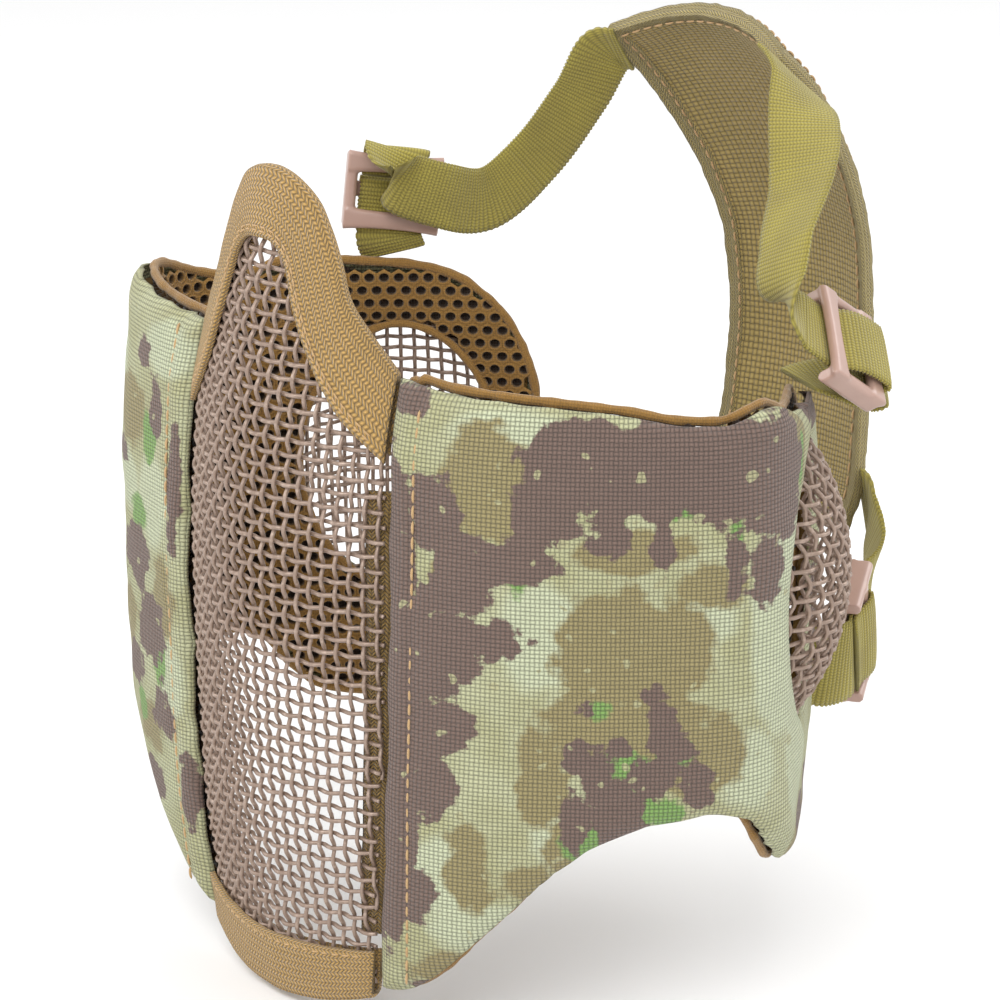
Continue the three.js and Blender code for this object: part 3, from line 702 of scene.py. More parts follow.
# ---------------------------------------------------------------- knitted bindings
def fold_rings(place, count, near, leaf):
    """A soft U-section folded over an edge; place(t, reach, d) puts it on the surface."""
    far = near + leaf
    turn = np.linspace(np.pi / 2, 3 * np.pi / 2, 7)[1:-1]
    outer = [(r, far) for r in (0.985, 0.9, 0.72, 0.54, 0.36, 0.18, 0.06)]
    outer += [(-0.09 * -math.cos(t) + 0.02, far * math.sin(t)) for t in turn]
    outer += [(r, -far) for r in (0.06, 0.18, 0.36, 0.54, 0.72, 0.9)]
    profile = [(1.0, near + leaf * 0.5)] + outer + [(0.93, -near - leaf * 0.5), (0.9, -near)]
    profile += [(0.5, -near), (0.05, -near), (0.05, near), (0.5, near), (0.985, near)]
    return np.array([[place(t, reach, d) for reach, d in profile] for t in np.linspace(0, 1, count)])


def binding_piece(name, node, place, count):
    rings = fold_rings(place, count, WIRE * 0.95, 1.25)
    flat = rings.reshape(-1, 3)
    flat = flat + unit(flat * [0.3, 1, 0]) * wobble(flat, 5, 0.22)[:, None]
    obj = Batch().tube(flat.reshape(rings.shape)).build(name, MATERIAL["binding"])
    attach(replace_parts(obj, node), "front")


def binding_stitches(name, place, ts, reach, d, *sizes):
    """A row of stitches at one reach across a binding."""
    path, ahead = (np.array([place(t, reach, height) for t in ts]) for height in (d, d + 1))
    stitches(name, path, unit(ahead - path), "front", *sizes)


def mirrored(rows):
    return [[-x, z] for x, z in rows] + [[x, z] for x, z in rows[-2::-1]]


def nose_binding():
    ts = np.linspace(0, 1, 161)
    outer, inner = catmull(mirrored(NOSE_OUTER), ts), catmull(mirrored(NOSE_INNER), ts)

    def place(t, reach, d):
        i = int(round(t * 160))
        x, z = lerp(outer[i], inner[i], reach)
        return front_point(x, z, d)

    binding_piece("nose_knit_binding", "nose_binding", place, 161)
    for offset, reach in ((0.06, 0.9), (0.16, 0.84)):
        binding_stitches(f"nose_stitch_{int(offset * 100)}", place, np.linspace(0.02, 0.98, 161), reach, 2.05,
                         2.4, 1.8, 0.2)


def chin_binding():
    def place(t, reach, d):
        u = 2 * t - 1
        low = CHIN_Z - 0.6 + CHIN_RISE * u * u
        high = CHIN_Z + CHIN_BAND + 0.45 * CHIN_RISE * u * u
        z = lerp(low, high, reach)
        return front_point(u * (HALF(z) - GAP), z, d)

    binding_piece("chin_knit_binding", "chin_binding", place, 91)
    binding_stitches("chin_stitch", place, np.linspace(0.03, 0.97, 91), 0.9, 2.0, 2.6, 2.0, 0.22)


def seam_tape(panel):
    """Tape behind the wire's side edge that runs over onto the cheek panel."""
    z = np.linspace(CHIN_Z + CHIN_BAND + 5, NOSE_INNER[0][1] - 6, 110)
    front_edge = [front_point(panel.sign * (HALF(z) - inset), z, -0.95) for inset in (4.0, 3.1, 2.2, 1.2)]
    on_panel = [panel.point(s, z, -4.3) for s in (3.0, 5.5)]
    line = np.stack(front_edge + on_panel, axis=1)
    smooth = np.array([catmull(row, np.linspace(0, 1, 15)) for row in line])
    smooth = smooth + wobble(smooth.reshape(-1, 3), 6, 0.15).reshape(smooth.shape[:2])[..., None]
    back = smooth + unit(smooth * [-0.2, 0, 0] + [0, 1, 0]) * 0.9
    rings = np.concatenate([smooth, back[:, ::-1]], axis=1)
    obj = Batch().tube(rings).build(f"{panel.name}_seam_knit_tape", MATERIAL["tape"])
    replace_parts(obj, f"{panel.name}_seam_tape")
    seam = panel.sign * HALF(0) * MM
    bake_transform(obj)


# ---------------------------------------------------------------- cheek panels
def panel_grid(panel, inset, hole_grow, cell=1.0):
    """Grid of (s, z) over a panel with the ear opening cut out and its edge drawn onto the oval."""
    columns = int((PANEL_END - PANEL_START - 2 * inset) / cell)
    rows = int(120 / cell)
    s = np.linspace(PANEL_START + inset, PANEL_END - inset, columns + 1)
    v = np.linspace(0, 1, rows + 1)
    grid_s = np.broadcast_to(s, (rows + 1, columns + 1))
    low, high = BOTTOM(s) + inset, panel.top(s) - inset
    grid_z = low + (high - low) * v[:, None]
    points = np.stack([grid_s, grid_z], -1).reshape(-1, 2)
    quads = grid_quads(rows, columns)
    measure = ear_measure(points[:, 0], points[:, 1], hole_grow)
    quads = quads[(measure[quads] >= 1).any(1)]
    inner = measure < 1
    middle = np.array([EAR_S, EAR_Z])
    drawn = middle + (points - middle) / np.maximum(measure, 0.05)[:, None]
    points = np.where(inner[:, None], drawn, points)
    used, quads = np.unique(quads, return_inverse=True)
    return points[used], quads.reshape(-1, 4)


def closed_sheet(name, top, low, quads, flat, material, attributes=None):
    """Two faces of the same quads, joined round every open edge; flat holds each point's (u, v)."""
    n = len(top)
    edges = np.concatenate([quads[:, [0, 1]], quads[:, [1, 2]], quads[:, [2, 3]], quads[:, [3, 0]]])
    seen = set(map(tuple, edges.tolist()))
    rim = sorted((a, b) for a, b in seen if (b, a) not in seen)
    faces = quads.tolist() + (quads[:, ::-1] + n).tolist() + [[b, a, a + n, b + n] for a, b in rim]
    uv = corner_uv(faces, np.vstack([flat, flat]))
    both = {k: np.concatenate([v, v]) for k, v in (attributes or {}).items()}
    return face_out(make(name, np.vstack([top, low]), faces, material, uv, both))


def panel_sheet(panel, name, points, quads, outer, inner, material, attributes=None):
    """Closed sheet on a cheek panel with its outer face at d = outer and inner face at d = inner."""
    top, low = (panel.point(points[:, 0], points[:, 1], d) for d in (outer, inner))
    return closed_sheet(name, top, low, quads, points, material, attributes)


def edge_distances(panel, points, hole_grow):
    return nearest(points, panel_outline(panel)), nearest(points, ear_outline(hole_grow, 300))


def roll(distance, width):
    """0 at an edge rising to 1 past width, as a quarter round."""
    t = np.clip(distance / width, 0, 1)
    return np.sqrt(1 - (1 - t) ** 2)


# printed blotches by panel, a few dark ones being painted shade: s, z and the half-sizes of each
BLOTCHES = {
    "left": {
        "camo_dark_print_and_shade": [
            (2, 6, 6.5, 25), (12, 18, 6, 8), (17, 6, 6, 9), (22, -6.5, 7, 3.8), (11, -9, 9, 12),
            (3, -44, 7, 32), (12, -26, 8, 6), (9, -37, 8, 9), (9, -62, 4.5, 6), (4, 39, 5, 3),
            (38, 29, 12, 9), (52, 28, 12, 10), (64, 28, 12, 11), (75, 25, 9, 13), (27, 10, 7, 5),
            (34, 19, 3.5, 7), (43, 17, 3.5, 6), (31, 22, 5, 10), (53, 14, 2, 7), (66, 10, 2, 7),
            (72, 8, 3.5, 8), (51, -17, 1.6, 1.6), (54, -20, 2.4, 2.4), (38, -30, 2.4, 4),
            (42, -34, 4, 6), (38, -42, 3, 7), (46, -43, 5.5, 9), (46, -27, 2, 2), (40, -19, 1.6, 1.6),
            # the dark blotches at (110, -54) on the rear lower edge and (112, 32) at the rear top corner are
            # painted shade, not print
            (55, -27, 3.5, 6), (52, -34, 4.5, 5), (60, -36, 3, 6), (14, -84, 6, 2.5), (110, -54, 9, 7),
            (112, 32, 12, 8), (100, 34, 8, 4), (96, -52, 5, 4), (130, -20, 5, 12)],
        "camo_khaki": [
            (21, 25, 8, 12), (45, -8, 12, 13), (32, -34, 4.5, 11), (40, -23, 9, 8), (62, 6, 6, 5),
            (55, -8, 8, 11), (53, -24, 10, 10), (19, -55, 4, 9), (38, -50, 6, 8), (30, -56, 5, 4),
            (48, 12, 12, 4), (13, 5, 1.6, 6), (15, -13, 2, 4), (3, 8, 4, 1.8), (6, -58, 6, 2),
            (61, -30, 8, 9), (82, 30, 5, 9), (17, -78, 9, 4), (100, -56, 16, 5), (57, 33, 2, 3)],
        "camo_green": [
            (48, 30, 1.6, 4), (51, 24.5, 2.2, 3), (55.5, 20.5, 4.2, 1.9), (59.5, 27, 1.7, 7),
            (45, 17, 1.3, 4), (27, 6.5, 1.7, 3.6), (46.5, -31, 5, 3), (40, -48, 5, 5), (50, -41, 2.6, 6),
            (56, -29, 3, 3), (66, 16, 1.2, 4), (84, 26, 1.6, 5), (55, -42, 3, 4), (42, -20, 2, 1.6)],
        "camo_pale": [
            (26, 35, 12, 4), (31, -5, 8, 11), (15, -57, 6, 9), (22, -68, 10, 6), (60, -2, 7, 5),
            (78, -6, 9, 24), (88, -30, 8, 20), (33, -47, 3, 6), (70, -34, 6, 8)],
    },
    "right": {
        "camo_dark_print_and_shade": [
            (20, 31, 3, 3.5), (13, 21, 3, 6), (5, 5, 2.4, 14), (24, -14, 8, 7), (17, -29, 7, 7),
            (27, -40, 6, 5), (12, -46, 5, 6), (4, -62, 2.6, 9), (62, 22, 11, 12), (80, -38, 12, 12),
            (52, -28, 9, 9), (44, 12, 5, 9), (104, -50, 9, 7), (118, 24, 8, 9), (96, 34, 9, 5),
            (30, 8, 4, 3), (20, -64, 6, 5)],
        "camo_khaki": [
            (26, 18, 8, 8), (10, -20, 5, 9), (34, -30, 8, 8), (46, -4, 8, 9), (64, -10, 8, 12),
            (78, 16, 7, 12), (20, -52, 8, 5), (90, -52, 9, 6), (128, -14, 6, 10)],
        "camo_green": [
            (16, 14, 3, 6), (22, -4, 4, 4), (13, -35, 3, 6), (24, -48, 3, 4), (50, 20, 3, 5),
            (58, -36, 4, 4), (70, 30, 4, 3), (84, -28, 4, 5)],
        "camo_pale": [
            (10, 34, 9, 6), (14, 0, 7, 10), (28, 2, 6, 7), (8, -38, 5, 8), (40, 26, 9, 8),
            (72, 2, 8, 12), (60, -52, 9, 5)],
    },
}


def blotch_fields(name, points):
    """For each colour, the distance in millimetres outside the nearest blotch, negative inside."""
    fields = {}
    for key, rows in BLOTCHES[name].items():
        best = np.full(len(points), 30.0)
        for s, z, half_s, half_z in rows:
            reach = np.hypot((points[:, 0] - s) / half_s, (points[:, 1] - z) / half_z)
            best = np.minimum(best, (reach - 1) * math.sqrt(half_s * half_z))
        fields[key] = best
    return fields


STITCH_S = 7.6       # the seam's row of stitches, behind the panel's front edge


def cheek_cover(panel):
    """Printed cloth, puffed over the foam, puckered at its edges and sunk along the front stitches."""
    points, quads = panel_grid(panel, 0.0, 0.0, 0.9)
    outside, hole = edge_distances(panel, points, 0.0)
    flat = in_plane(points)
    puffed = roll(outside, 5.5) * (0.45 + 0.55 * roll(hole, 6.0))
    soft = wobble(flat, 22, 0.9, 3.7) + wobble(flat, 8, 0.3, 9.1)
    pucker = wobble(flat, 4.5, 0.5, 1.3) * np.exp(-(np.minimum(outside, hole) / 4) ** 2)
    stitch_row = -0.45 * np.exp(-((points[:, 0] - STITCH_S) / 1.1) ** 2)
    outer = lerp(0.3, 3.3, puffed) + (soft + 0.25) * puffed + pucker * 0.6 + stitch_row
    outer = np.where(hole < 7, np.maximum(outer, 2.65), outer)
    inner = outer - lerp(0.75, 0.9, puffed)
    body = f"{panel.name}_cheek"
    obj = panel_sheet(panel, f"{body}_camo_cover", points, quads, outer, inner, MATERIAL["camo"],
                      blotch_fields(panel.name, points))
    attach(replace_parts(obj, f"{body}_cover"), body)
    z = np.linspace(BOTTOM(8) + 1.5, panel.top(8) - 1.0, 320)
    path = panel.point(STITCH_S + 0.25 * np.sin(z / 17), z, 2.98)
    normals = panel.outward(np.full_like(z, STITCH_S))
    stitches(f"{panel.name}_front_stitch", path, normals, body, 3.1, 2.7, 0.3)


def cheek_foam(panel):
    """Foam sheet with rounded edges between the cover and the lining."""
    points, quads = panel_grid(panel, 3.2, 3.6, 2.0)
    outside, hole = edge_distances(panel, points, 3.6)
    round_edge = roll(np.minimum(outside - 3.2, hole), 2.0)
    body = f"{panel.name}_cheek"
    obj = panel_sheet(panel, f"{body}_foam_sheet", points, quads, lerp(0.6, 1.6, round_edge),
                      lerp(0.2, -0.8, round_edge), MATERIAL["foam"])
    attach(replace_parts(obj, f"{body}_foam"), body)


HOLE_PITCH = 3.4     # spacer mesh, hole to hole
HOLE_RADIUS = 1.14


def cheek_lining(panel):
    """Spacer mesh: a honeycomb of raised rings with a pit in each, inside a rolled edge."""
    row_step = HOLE_PITCH * math.sqrt(3) / 2
    centres = np.array([((i + 0.5 * (j % 2)) * HOLE_PITCH, j * row_step)
                        for j in range(int(-90 / row_step), int(52 / row_step) + 1)
                        for i in range(int(PANEL_END / HOLE_PITCH) + 1)])
    s, z = centres.T
    inside = (s > PANEL_START + 2) & (s < PANEL_END - 2) & (z < panel.top(s) - 0.7) & (z > BOTTOM(s) + 1.7)
    centres = centres[inside & (ear_measure(s, z, 1.6) > 1)]
    corner = HOLE_PITCH / math.sqrt(3)
    side = np.arange(12)
    angle = np.radians(side * 30 + 30)
    reach = np.where(side % 2 == 0, corner, HOLE_PITCH / 2)
    stretch = np.array([1.0, 0.86])
    # each ring: radius, depth and how much painted shade it gets, none on the rim to full at the pit's floor
    ringed = [(reach, 0.05, 0), (np.full(12, 1.55), 0.5, 0), (np.full(12, 1.3), 0.42, 0),
              (np.full(12, HOLE_RADIUS), 0.0, 0.5), (np.full(12, 1.0), -1.1, 1.0)]
    flat, depth, pit = [], [], []
    for index, (radius, height, dark) in enumerate(ringed):
        squeeze = np.ones(2) if index == 0 else stretch
        ring = np.stack([np.cos(angle), np.sin(angle)], 1) * radius[:, None] * squeeze
        flat.append(centres[:, None] + ring[None])
        depth.append(np.full((len(centres), 12), height))
        pit.append(np.full((len(centres), 12), dark))
    flat = np.stack(flat, 1).reshape(-1, 2)
    depth, pit = (np.stack(values, 1).reshape(-1) for values in (depth, pit))
    cell = [[first + k, first + (k + 1) % 12, first + 12 + (k + 1) % 12, first + 12 + k]
            for first in range(0, 48, 12) for k in range(12)]
    faces = [[v + 60 * c for v in face] for c in range(len(centres)) for face in cell]
    faces += [[60 * c + 48 + k for k in range(12)] for c in range(len(centres))]
    key = np.round(flat, 2) + np.round(depth, 2)[:, None] * 1000
    _unique, first, back = np.unique(key, axis=0, return_index=True, return_inverse=True)
    back = back.ravel()
    flat, depth, pit = flat[first], depth[first], pit[first]
    faces = [[int(back[v]) for v in face] for face in faces]
    soft = wobble(in_plane(flat), 18, 0.7, 5.5)
    outside, hole = edge_distances(panel, flat, 1.0)
    pinch = 1 - roll(np.minimum(outside + 0.3, hole), 5)
    d = -2.9 - depth - soft * 0.6 + pinch * 1.1
    points = panel.point(flat[:, 0], flat[:, 1], d)
    body = f"{panel.name}_cheek"
    obj = face_in(make(f"{body}_spacer_mesh", points, faces, MATERIAL["lining"], corner_uv(faces, flat),
                       {"pit": pit}), panel)
    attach(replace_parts(obj, f"{body}_lining"), body)

    outline = panel_outline(panel, 0.6)
    top = (outline[:, 1] > 0) & (outline[:, 0] > PANEL_START + 3)
    outline[top, 1] += 1.0
    rim_of(panel, outline, -2.0, 1.0, f"{panel.name}_lining_edge", body)
    rim_of(panel, ear_outline(0.6, 300), -2.0, 0.95, f"{panel.name}_ear_edge", body)


def rim_of(panel, outline, d, radius, name, body):
    """Rolled, lumpy mesh edge along a closed loop of (s, z)."""
    loop = evenly(np.vstack([outline, outline[:1]]), 0.7)[:-1]
    flat = in_plane(loop)
    lump = wobble(flat, 3.1, 0.55, 2.2) + wobble(flat, 11, 0.4, 4.4)
    path = panel.point(loop[:, 0], loop[:, 1], d + lump * 0.4)
    along = unit(np.roll(path, -1, 0) - np.roll(path, 1, 0))
    normal = panel.outward(loop[:, 0])
    across = unit(np.cross(along, normal))
    angle = circle(12)
    size = (radius + lump * 0.5)[:, None, None]
    rings = (path[:, None] + across[:, None] * size * np.cos(angle)[None, :, None]
             + normal[:, None] * size * 0.9 * np.sin(angle)[None, :, None])
    obj = Batch().tube(rings, closed=True).build(name, MATERIAL["lining"])
    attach(obj, body)


def face_in(obj, panel):
    """Face an open sheet towards the wearer."""
    mesh = obj.data
    face = mesh.polygons[len(mesh.polygons) // 2]
    outward = panel.outward(np.array(70.0))
    if Vector(outward).dot(face.normal) > 0:
        mesh.flip_normals()
    return obj


def stitches(name, path, normals, body, pitch, length, radius):
    """Separate thread stitches along a path, each arched and tucked in at its ends."""
    run = lengths(path)
    batch = Batch()
    for k in range(int(run[-1] / pitch)):
        at = np.linspace(k * pitch, k * pitch + length, 7)
        point = sample(at, run, path)
        normal = unit(sample(at, run, normals))
        t = np.linspace(-1, 1, 7)
        point = point + normal * (0.22 * (1 - t ** 2) - 0.05)[:, None]
        size = radius * np.sqrt(np.maximum(1 - t ** 4, 0.08))
        batch.tube(round_rings(point, normal, size, size, 6))
    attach(batch.build(name, MATERIAL["thread"], outward=False), body)


# ---------------------------------------------------------------- webbing and buckles
BUCKLE_PLACES = {
    "left_upper": ((69.5, 1.5, 42), (0.62, -0.4, -0.67), (0, 0.83, -0.55), UPPER_WEB),
    "right_upper": ((-56, -15.5, 57.5), (0.55, 0.83, -0.1), (0, 0.12, 0.99), UPPER_WEB),
    "left_lower": ((43.8, 34.5, -30.5), (0.2, -0.28, 0.94), (-0.54, 0.77, 0.34), LOWER_WEB),
    "right_lower": ((-31, 26, -29.5), (-0.03, -0.34, 0.94), (0.09, 0.94, 0.34), LOWER_WEB)}
TAB_ROUTES = {
    "left_upper": ([[62.3, -4.2, 35.3], [64, 3, 34.4], [67, 11, 33.4], [69.5, 12.6, 34.6]],
                   [[0.72, -0.69, 0], [0.7, -0.6, -0.3], [0.62, -0.4, -0.67], [0.62, -0.4, -0.67]], 1),
    "right_upper": ([[-56.8, -14.6, 43.6]], [[0.58, 0.82, -0.05]], -1),
    "left_lower": ([[46, 16.8, -33.5], [48.6, 20.6, -34.2]], [[0, -0.2, 1], [0.05, -0.3, 0.95]], -1),
    "right_lower": ([[-33, 10.4, -34]], [[0, -0.2, 1]], -1)}
STRAP_ROUTES = {
    "left_upper": (
        [[69.3, -10, 49.6], [68.7, -13, 52.6], [66.5, -13.8, 57], [63, -9.5, 64.5], [56, 1.5, 74.5],
         [46, 11.5, 84.5], [37, 18.5, 89.5], [29.6, 22, 91.5]],
        [[0.62, -0.4, -0.67], [0.7, -0.3, -0.5], [0.95, -0.1, 0.1], [0.95, 0, 0.3], [0.9, 0.4, 0.3],
         [0.5, 0.8, 0], [0.2, 0.75, -0.5], [0.05, 0.75, -0.66]]),
    "right_upper": (
        [[-49.8, -19.9, 62.4], [-45.4, -10.1, 57.7], [-45, 3, 55.5], [-42, 14.5, 64], [-36, 22.5, 78],
         [-30, 25, 88.5]],
        [[0.1, 0.4, -0.85], [0, 0.3, -1], [0, 0, -1], [0, 0.5, -0.85], [0, 0.7, -0.7], [0, 0.75, -0.66]])}
# each lower strap climbs from its buckle to the pad along a level heading: start, heading, length
CLIMBS = {
    "left_lower": ((35.7, 46, -25.4), (-0.7, 0.714, 0), 21.3),
    "right_lower": ((-29.6, 40, -24.4), (0.3, 0.954, 0), 21.3)}
CLIMB_STEPS = 6
CLIMB_TWIST = 0.2
SEWN_IN = 3.6        # how far a strap's end runs in under the pad's edging
# the strap's turn round its end bar, as (run, face) in the buckle's own axes, from the bar outwards
STRAP_TURN = [(7.3, 1.5), (8.9, 1.9), (9.5, 3.0), (8.6, 4.1), (6.5, 4.3), (3.4, 4.1), (0.2, 3.5),
              (-2.6, 2.2), (-4.4, 0.5), (-6.4, -0.1), (-9, 0)]
TOP_TURN = [(3.4, 0.9), (5.2, -0.2), (7.6, -0.4), (9.4, 0.6), (9.9, 2.4)]
# the tab's turn round the centre bar
TAB_TURN = [(-3.0, -0.1), (0.6, 0.1), (2.3, -0.7), (2.6, -2.0), (1.6, -3.4), (-0.6, -3.6), (-2.8, -3.0),
            (-5.4, -1.7), (-8.5, -1.35)]


def buckle_axes(name):
    at, bars, run, _width = BUCKLE_PLACES[name]
    bars = unit(np.array(bars, float))
    run = np.array(run, float)
    run = unit(run - bars * run.dot(bars))
    return np.array(at, float), bars, run, np.cross(bars, run)


def in_buckle(name, rows, flip=1):
    at, _bars, run, face = buckle_axes(name)
    return [at + run * (r * flip) + face * f for r, f in rows]


def ribbon(name, stops, acrosses, width, thick, material, span=(0.0, 1.0), ribs=0.9):
    """Flat ribbed tape along a smooth path through stops, only the given span of it."""
    ts = np.linspace(0, 1, 60 * len(stops))
    path = catmull(stops, ts)
    index = ts * (len(stops) - 1)
    lower = np.minimum(index.astype(int), len(stops) - 2)
    across = np.array(acrosses, float)
    across = lerp(across[lower], across[lower + 1], (index - lower)[:, None])
    run = lengths(path)
    keep = np.arange(span[0] * run[-1], span[1] * run[-1] + 1e-6, 0.3)
    keep[-1] = span[1] * run[-1]
    path, across = sample(keep, run, path), sample(keep, run, across)
    tangent = unit(np.gradient(path, axis=0))
    across = unit(across - tangent * (across * tangent).sum(1)[:, None])
    normal = np.cross(tangent, across)
    wave = np.abs(np.sin(np.pi * keep / ribs))
    half = width / 2 - 0.28 + 0.34 * wave
    rise = thick / 2 - 0.1 + 0.12 * wave
    sides = np.linspace(-1, 1, 11)
    profile = [(a, 1 - 0.35 * abs(a) ** 6) for a in sides]
    profile += [(a, -b) for a, b in profile[::-1]]
    cup = wobble(path, 14, 0.35, 7.7)
    rings = np.stack([path + across * (a * half)[:, None] + normal * (b * rise + cup * a * a)[:, None]
                      for a, b in profile], axis=1)
    return Batch().tube(rings, u=keep).build(name, material)


def climb(start, heading, length):
    """Points and across directions of a lower strap, steepest half way, with a slight bow and twist."""
    along, heading = np.array(start, float), np.array(heading, float)
    side = np.array([math.copysign(abs(heading[1]), along[0]), abs(heading[0]), 0])
    step = length / CLIMB_STEPS

    def lean(t):
        return math.radians(28 + 6 * t + 16 * math.sin(math.pi * t))

    points, acrosses = [], []
    for k in range(CLIMB_STEPS + 1):
        t = k / CLIMB_STEPS
        bow = math.sin(math.pi * t)
        points.append(along + side * bow * bow)
        upright = np.array([0, 0, math.cos(lean(t))]) - heading * math.sin(lean(t))
        acrosses.append(upright + side * CLIMB_TWIST * bow)
        middle = lean(t + 0.5 / CLIMB_STEPS)
        along = along + heading * step * math.cos(middle) + np.array([0, 0, step * math.sin(middle)])
    return points, acrosses


def strap(name):
    route, acrosses = STRAP_ROUTES[name] if name in STRAP_ROUTES else climb(*CLIMBS[name])
    inwards = -math.copysign(SEWN_IN, route[-1][0])
    route = [*route, np.array(route[-1]) + [inwards, 0.45 * SEWN_IN, 0.15 * SEWN_IN]]
    acrosses = [*acrosses, acrosses[-1]]
    width = BUCKLE_PLACES[name][3] - 0.4
    _at, bars, _run, _face = buckle_axes(name)
    turn_rows = TOP_TURN if name == "right_upper" else STRAP_TURN
    turn = in_buckle(name, turn_rows, -1 if name in CLIMBS else 1)
    if np.dot(bars, acrosses[0]) < 0:
        bars = -bars
    stops = turn + [np.array(p, float) for p in route]
    across = [bars] * len(turn) + acrosses
    path = catmull(stops, np.linspace(0, 1, 400))
    run = lengths(path)
    into = np.argmin(np.linalg.norm(path - stops[len(turn)], axis=1))
    first = run[into] / run[-1]
    middle = lerp(first, 1.0, 0.5)

    def at(share):
        return Vector(path[np.searchsorted(run, share * run[-1])] * MM)

    material = MATERIAL["webbing"]
    turn_piece = ribbon(f"{name}_strap_turn", stops, across, width, 1.15, material, (0.0, first))
    lower = ribbon(f"{name}_strap_lower", stops, across, width, 1.15, material, (first, middle))
    upper = ribbon(f"{name}_strap_upper", stops, across, width, 1.15, material, (middle, 1.0))
    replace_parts(lower, f"{name}_strap")
    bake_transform(turn_piece)
    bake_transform(lower)
    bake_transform(upper)


def tab(name):
    points, acrosses, enters = TAB_ROUTES[name]
    width = BUCKLE_PLACES[name][3] - 0.3
    _at, bars, _run, _face = buckle_axes(name)
    start = [np.array(p, float) for p in points]
    turn = in_buckle(name, TAB_TURN, -enters)
    entry = in_buckle(name, [(-10, 0), (-6.5, 0)], -enters)
    bars = bars if np.dot(bars, acrosses[0]) > 0 else -bars
    stops = start + entry + turn
    piece = ribbon(f"{name}_tab_loop", stops, acrosses + [bars] * (len(entry) + len(turn)), width, 1.05,
                   MATERIAL["webbing"])
    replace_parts(piece, f"{name}_tab")
    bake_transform(piece)


def rounded_bar(length, width, thick, waist, y, z):
    """Bar along X with an eight-sided section, narrower at its middle."""
    xs = np.linspace(-1, 1, 21)
    size = 1 - waist * (1 - np.abs(xs) ** 2.2)
    cut = 0.3 * min(width, thick)
    w, h = width / 2, thick / 2
    outline = [(-w + cut, -h), (w - cut, -h), (w, -h + cut), (w, h - cut), (w - cut, h), (-w + cut, h),
               (-w, h - cut), (-w, -h + cut)]
    rings = [[(x * length / 2, y + a * k, z + b) for a, b in outline] for x, k in zip(xs, size)]
    return np.array(rings)


def buckle(name):
    """Tri-glide: two waisted end bars, a centre bar and two rails, moulded in one piece."""
    at, bars, run, face = buckle_axes(name)
    web = BUCKLE_PLACES[name][3]
    half = WEB_THICK / 2 + GAP
    wide = web + 2 * GAP + 2 * BUCKLE["rail"] + 1
    end_y = (BUCKLE["length"] - BUCKLE["end_bar"]) / 2
    top, bottom = half + BUCKLE["end_thick"], -half - BUCKLE["centre_thick"]
    batch = Batch()
    for sign in (-1, 1):
        batch.tube(rounded_bar(wide, BUCKLE["end_bar"] + 1.2, BUCKLE["end_thick"] + 0.2, 0.26,
                               sign * (end_y - 0.2), half + BUCKLE["end_thick"] / 2))
    batch.tube(rounded_bar(wide - 1, BUCKLE["centre_bar"], BUCKLE["centre_thick"], 0.0, 0,
                           -half - BUCKLE["centre_thick"] / 2))
    for sign in (-1, 1):
        rail = rounded_bar(BUCKLE["length"] - 0.6, BUCKLE["rail"] + 0.2, top - bottom - 0.3, 0.0, 0, 0)
        batch.tube(np.stack([rail[..., 1] + sign * (wide - BUCKLE["rail"]) / 2, rail[..., 0],
                             rail[..., 2] + (top + bottom) / 2], axis=-1))
    rough = batch.build(f"{name}_rough", MATERIAL["plastic"])
    remesh = rough.modifiers.new("merge", "REMESH")
    remesh.mode = "VOXEL"
    remesh.voxel_size = 0.34 * MM
    smooth = rough.modifiers.new("soften", "SMOOTH")
    smooth.factor = 0.6
    smooth.iterations = 5
    bpy.context.view_layer.update()
    mesh = bpy.data.meshes.new_from_object(rough.evaluated_get(bpy.context.evaluated_depsgraph_get()))
    mesh.polygons.foreach_set("use_smooth", [True] * len(mesh.polygons))
    bpy.data.objects.remove(rough)
    place = Matrix([(*row,) for row in np.column_stack([bars, run, face, at * MM])] + [(0, 0, 0, 1)])
    mesh.transform(place)
    obj = add(f"{name}_tri_glide", mesh)
    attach(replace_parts(obj, f"{name}_buckle"), f"{name}_glide")


# ---------------------------------------------------------------- rear pad
PAD_T = np.arange(len(PAD_LINE)) / (len(PAD_LINE) - 1)
PAD_Y, PAD_Z, PAD_HALF = (Curve([[t, row[k]] for t, row in zip(PAD_T, PAD_LINE)]) for k in range(3))


def pad_point(t, u, d):
    t, u, d = spread(t, u, d)
    step = 0.01
    slope_y, slope_z = (curve(t + step) - curve(t - step) for curve in (PAD_Y, PAD_Z))
    outward = unit(np.stack([np.zeros_like(t), slope_z, -slope_y], axis=-1))
    dish = lerp(PAD_DISH[0], PAD_DISH[1], t) * u * u
    return np.stack([u * PAD_HALF(t), PAD_Y(t), PAD_Z(t)], axis=-1) + outward * (d - dish)[..., None]


def rear_pad():
    """Padded cloth band, thinner towards its sewn edge."""
    rows, columns = 190, 74
    t = np.linspace(0.01, 0.99, rows + 1)[:, None] + np.zeros(columns + 1)
    u = 0.97 * np.linspace(-1, 1, columns + 1)[None] + np.zeros((rows + 1, 1))
    edge = np.minimum((1 - np.abs(u)) * 24, np.minimum(t, 1 - t) * 140)
    flat = np.stack([t * 140, u * 25, 0 * t], -1).reshape(-1, 3)
    swell = (roll(edge, 7) * 0.75 + wobble(flat, 16, 0.7, 8.8).reshape(t.shape)
             + wobble(flat, 5, 0.25, 6.1).reshape(t.shape))
    outer = pad_point(t, u, 0.75 + swell * 0.9).reshape(-1, 3)
    inner = pad_point(t, u, -0.75 - swell * 0.8).reshape(-1, 3)
    quads = grid_quads(rows, columns)
    obj = closed_sheet("rear_pad_cloth", outer, inner, quads, flat[:, :2], MATERIAL["pad"])
    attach(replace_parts(obj, "rear_pad"), "harness")


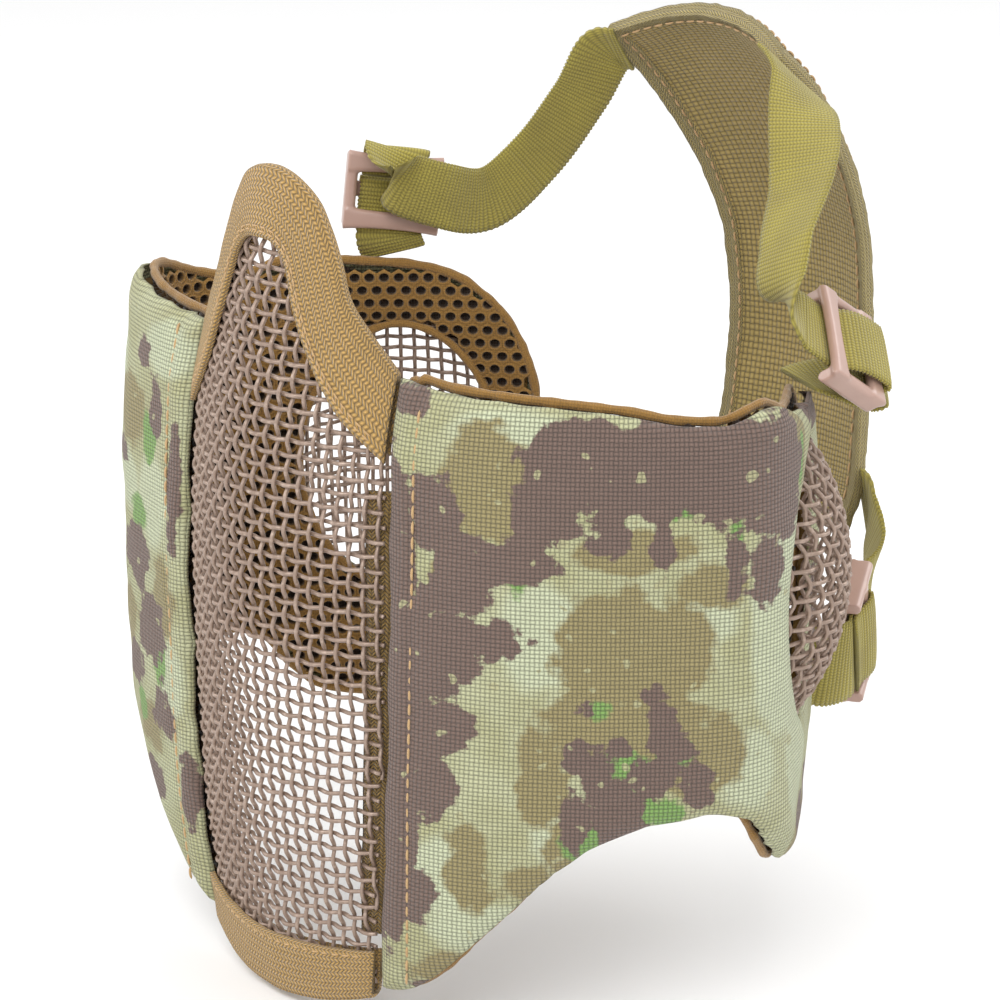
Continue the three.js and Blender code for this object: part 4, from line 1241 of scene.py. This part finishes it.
def pad_edging():
    """Overlocked edge with a row of stitches each side."""
    per = 110
    corners = np.array([(-1, -1), (-1, 1), (1, 1), (1, -1)])
    loop = np.array([lerp(corners[k], corners[(k + 1) % 4], i / per) for k in range(4) for i in range(per)])
    profile = fold_rings(lambda _t, reach, d: np.array([reach, d, 0]), 1, PAD_THICK / 2 - 0.55, 0.75)[0]
    reach, d = profile[:, 0] * 0.9, profile[:, 1]
    rings = np.array([pad_point(0.5 + 0.5 * b * (1 - reach * 0.05), u * (1 - reach * 0.15), d) for b, u in loop])
    lump = wobble(rings.reshape(-1, 3), 2.4, 0.3, 3.3).reshape(rings.shape[:2])
    rings = rings + unit(rings - rings.mean(1, keepdims=True)) * lump[..., None]
    obj = Batch().tube(rings, closed=True).build("rear_pad_overlock", MATERIAL["edging"])
    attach(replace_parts(obj, "rear_pad_edging"), "harness")
    for label, d in (("outer", 1.95), ("inner", -1.95)):
        t, across = 0.5 + 0.5 * loop[:, 0] * 0.962, loop[:, 1] * 0.885
        line = pad_point(t, across, d)
        ahead = pad_point(t, across, d + math.copysign(1, d))
        stitches(f"pad_stitch_{label}", line, unit(ahead - line), "harness", 3.0, 2.3, 0.25)


# ---------------------------------------------------------------- studio
CAMERA_ANGLES = (50.16, 15.67, 0.33)     # azimuth, elevation and roll in degrees
CAMERA_DISTANCE = 0.7441
CAMERA_TARGET = (0, -0.03046, 0.00096)
FOCAL_WIDTHS = 3.49      # focal length over the sensor's width
FLOOR_HALF = 15.0
FLOOR_GAP = 0.0012       # floor below the part's lowest point


def camera():
    data = bpy.data.cameras.new("camera")
    data.sensor_width = 36
    data.lens = data.sensor_width * FOCAL_WIDTHS
    data.clip_start, data.clip_end = 0.01, 100
    obj = add("camera", data)
    azimuth, elevation, rolled = (math.radians(angle) for angle in CAMERA_ANGLES)
    back = Vector((math.sin(azimuth) * math.cos(elevation), -math.cos(azimuth) * math.cos(elevation),
                   math.sin(elevation)))
    target = Vector(CAMERA_TARGET)
    obj.rotation_mode = "QUATERNION"
    turn = Matrix.Rotation(rolled, 4, "Z").to_quaternion()
    obj.location = target + back * CAMERA_DISTANCE
    obj.rotation_quaternion = (-back).to_track_quat("-Z", "Y") @ turn
    bpy.context.scene.camera = obj


def area_light(name, place, size, power, aim=(0, -0.03, 0)):
    data = bpy.data.lights.new(name, "AREA")
    data.shape = "SQUARE"
    data.size = size
    data.energy = power
    obj = add(name, data)
    obj.location = place
    obj.rotation_mode = "QUATERNION"
    obj.rotation_quaternion = (Vector(aim) - Vector(place)).to_track_quat("-Z", "Y")


def studio():
    scene = bpy.context.scene
    scene.view_settings.view_transform = "Standard"
    world = bpy.data.worlds.new("studio")
    world.use_nodes = True
    world.node_tree.nodes["Background"].inputs[0].default_value = (1, 1, 1, 1)
    world.node_tree.nodes["Background"].inputs[1].default_value = 0.97
    scene.world = world
    area_light("key", (0.7, -0.9, 1.1), 0.9, 12)
    area_light("side", (-1.0, -0.8, 0.7), 0.9, 5)
    area_light("back", (0.3, 1.2, 0.9), 0.9, 7)
    corners = [(x * FLOOR_HALF, y * FLOOR_HALF, cad_box[0].z - FLOOR_GAP)
               for x, y in ((-1, -1), (1, -1), (1, 1), (-1, 1))]
    floor = make("floor", np.array(corners) / MM, [(0, 1, 2, 3)], floor_material(), smooth=False)


camera()
front_wires()
nose_binding()
chin_binding()
for one in PANELS.values():
    seam_tape(one)
    cheek_cover(one)
    cheek_foam(one)
    cheek_lining(one)
    ear_wires(one)
for place_name in BUCKLE_PLACES:
    buckle(place_name)
    tab(place_name)
    strap(place_name)
rear_pad()
pad_edging()
studio()
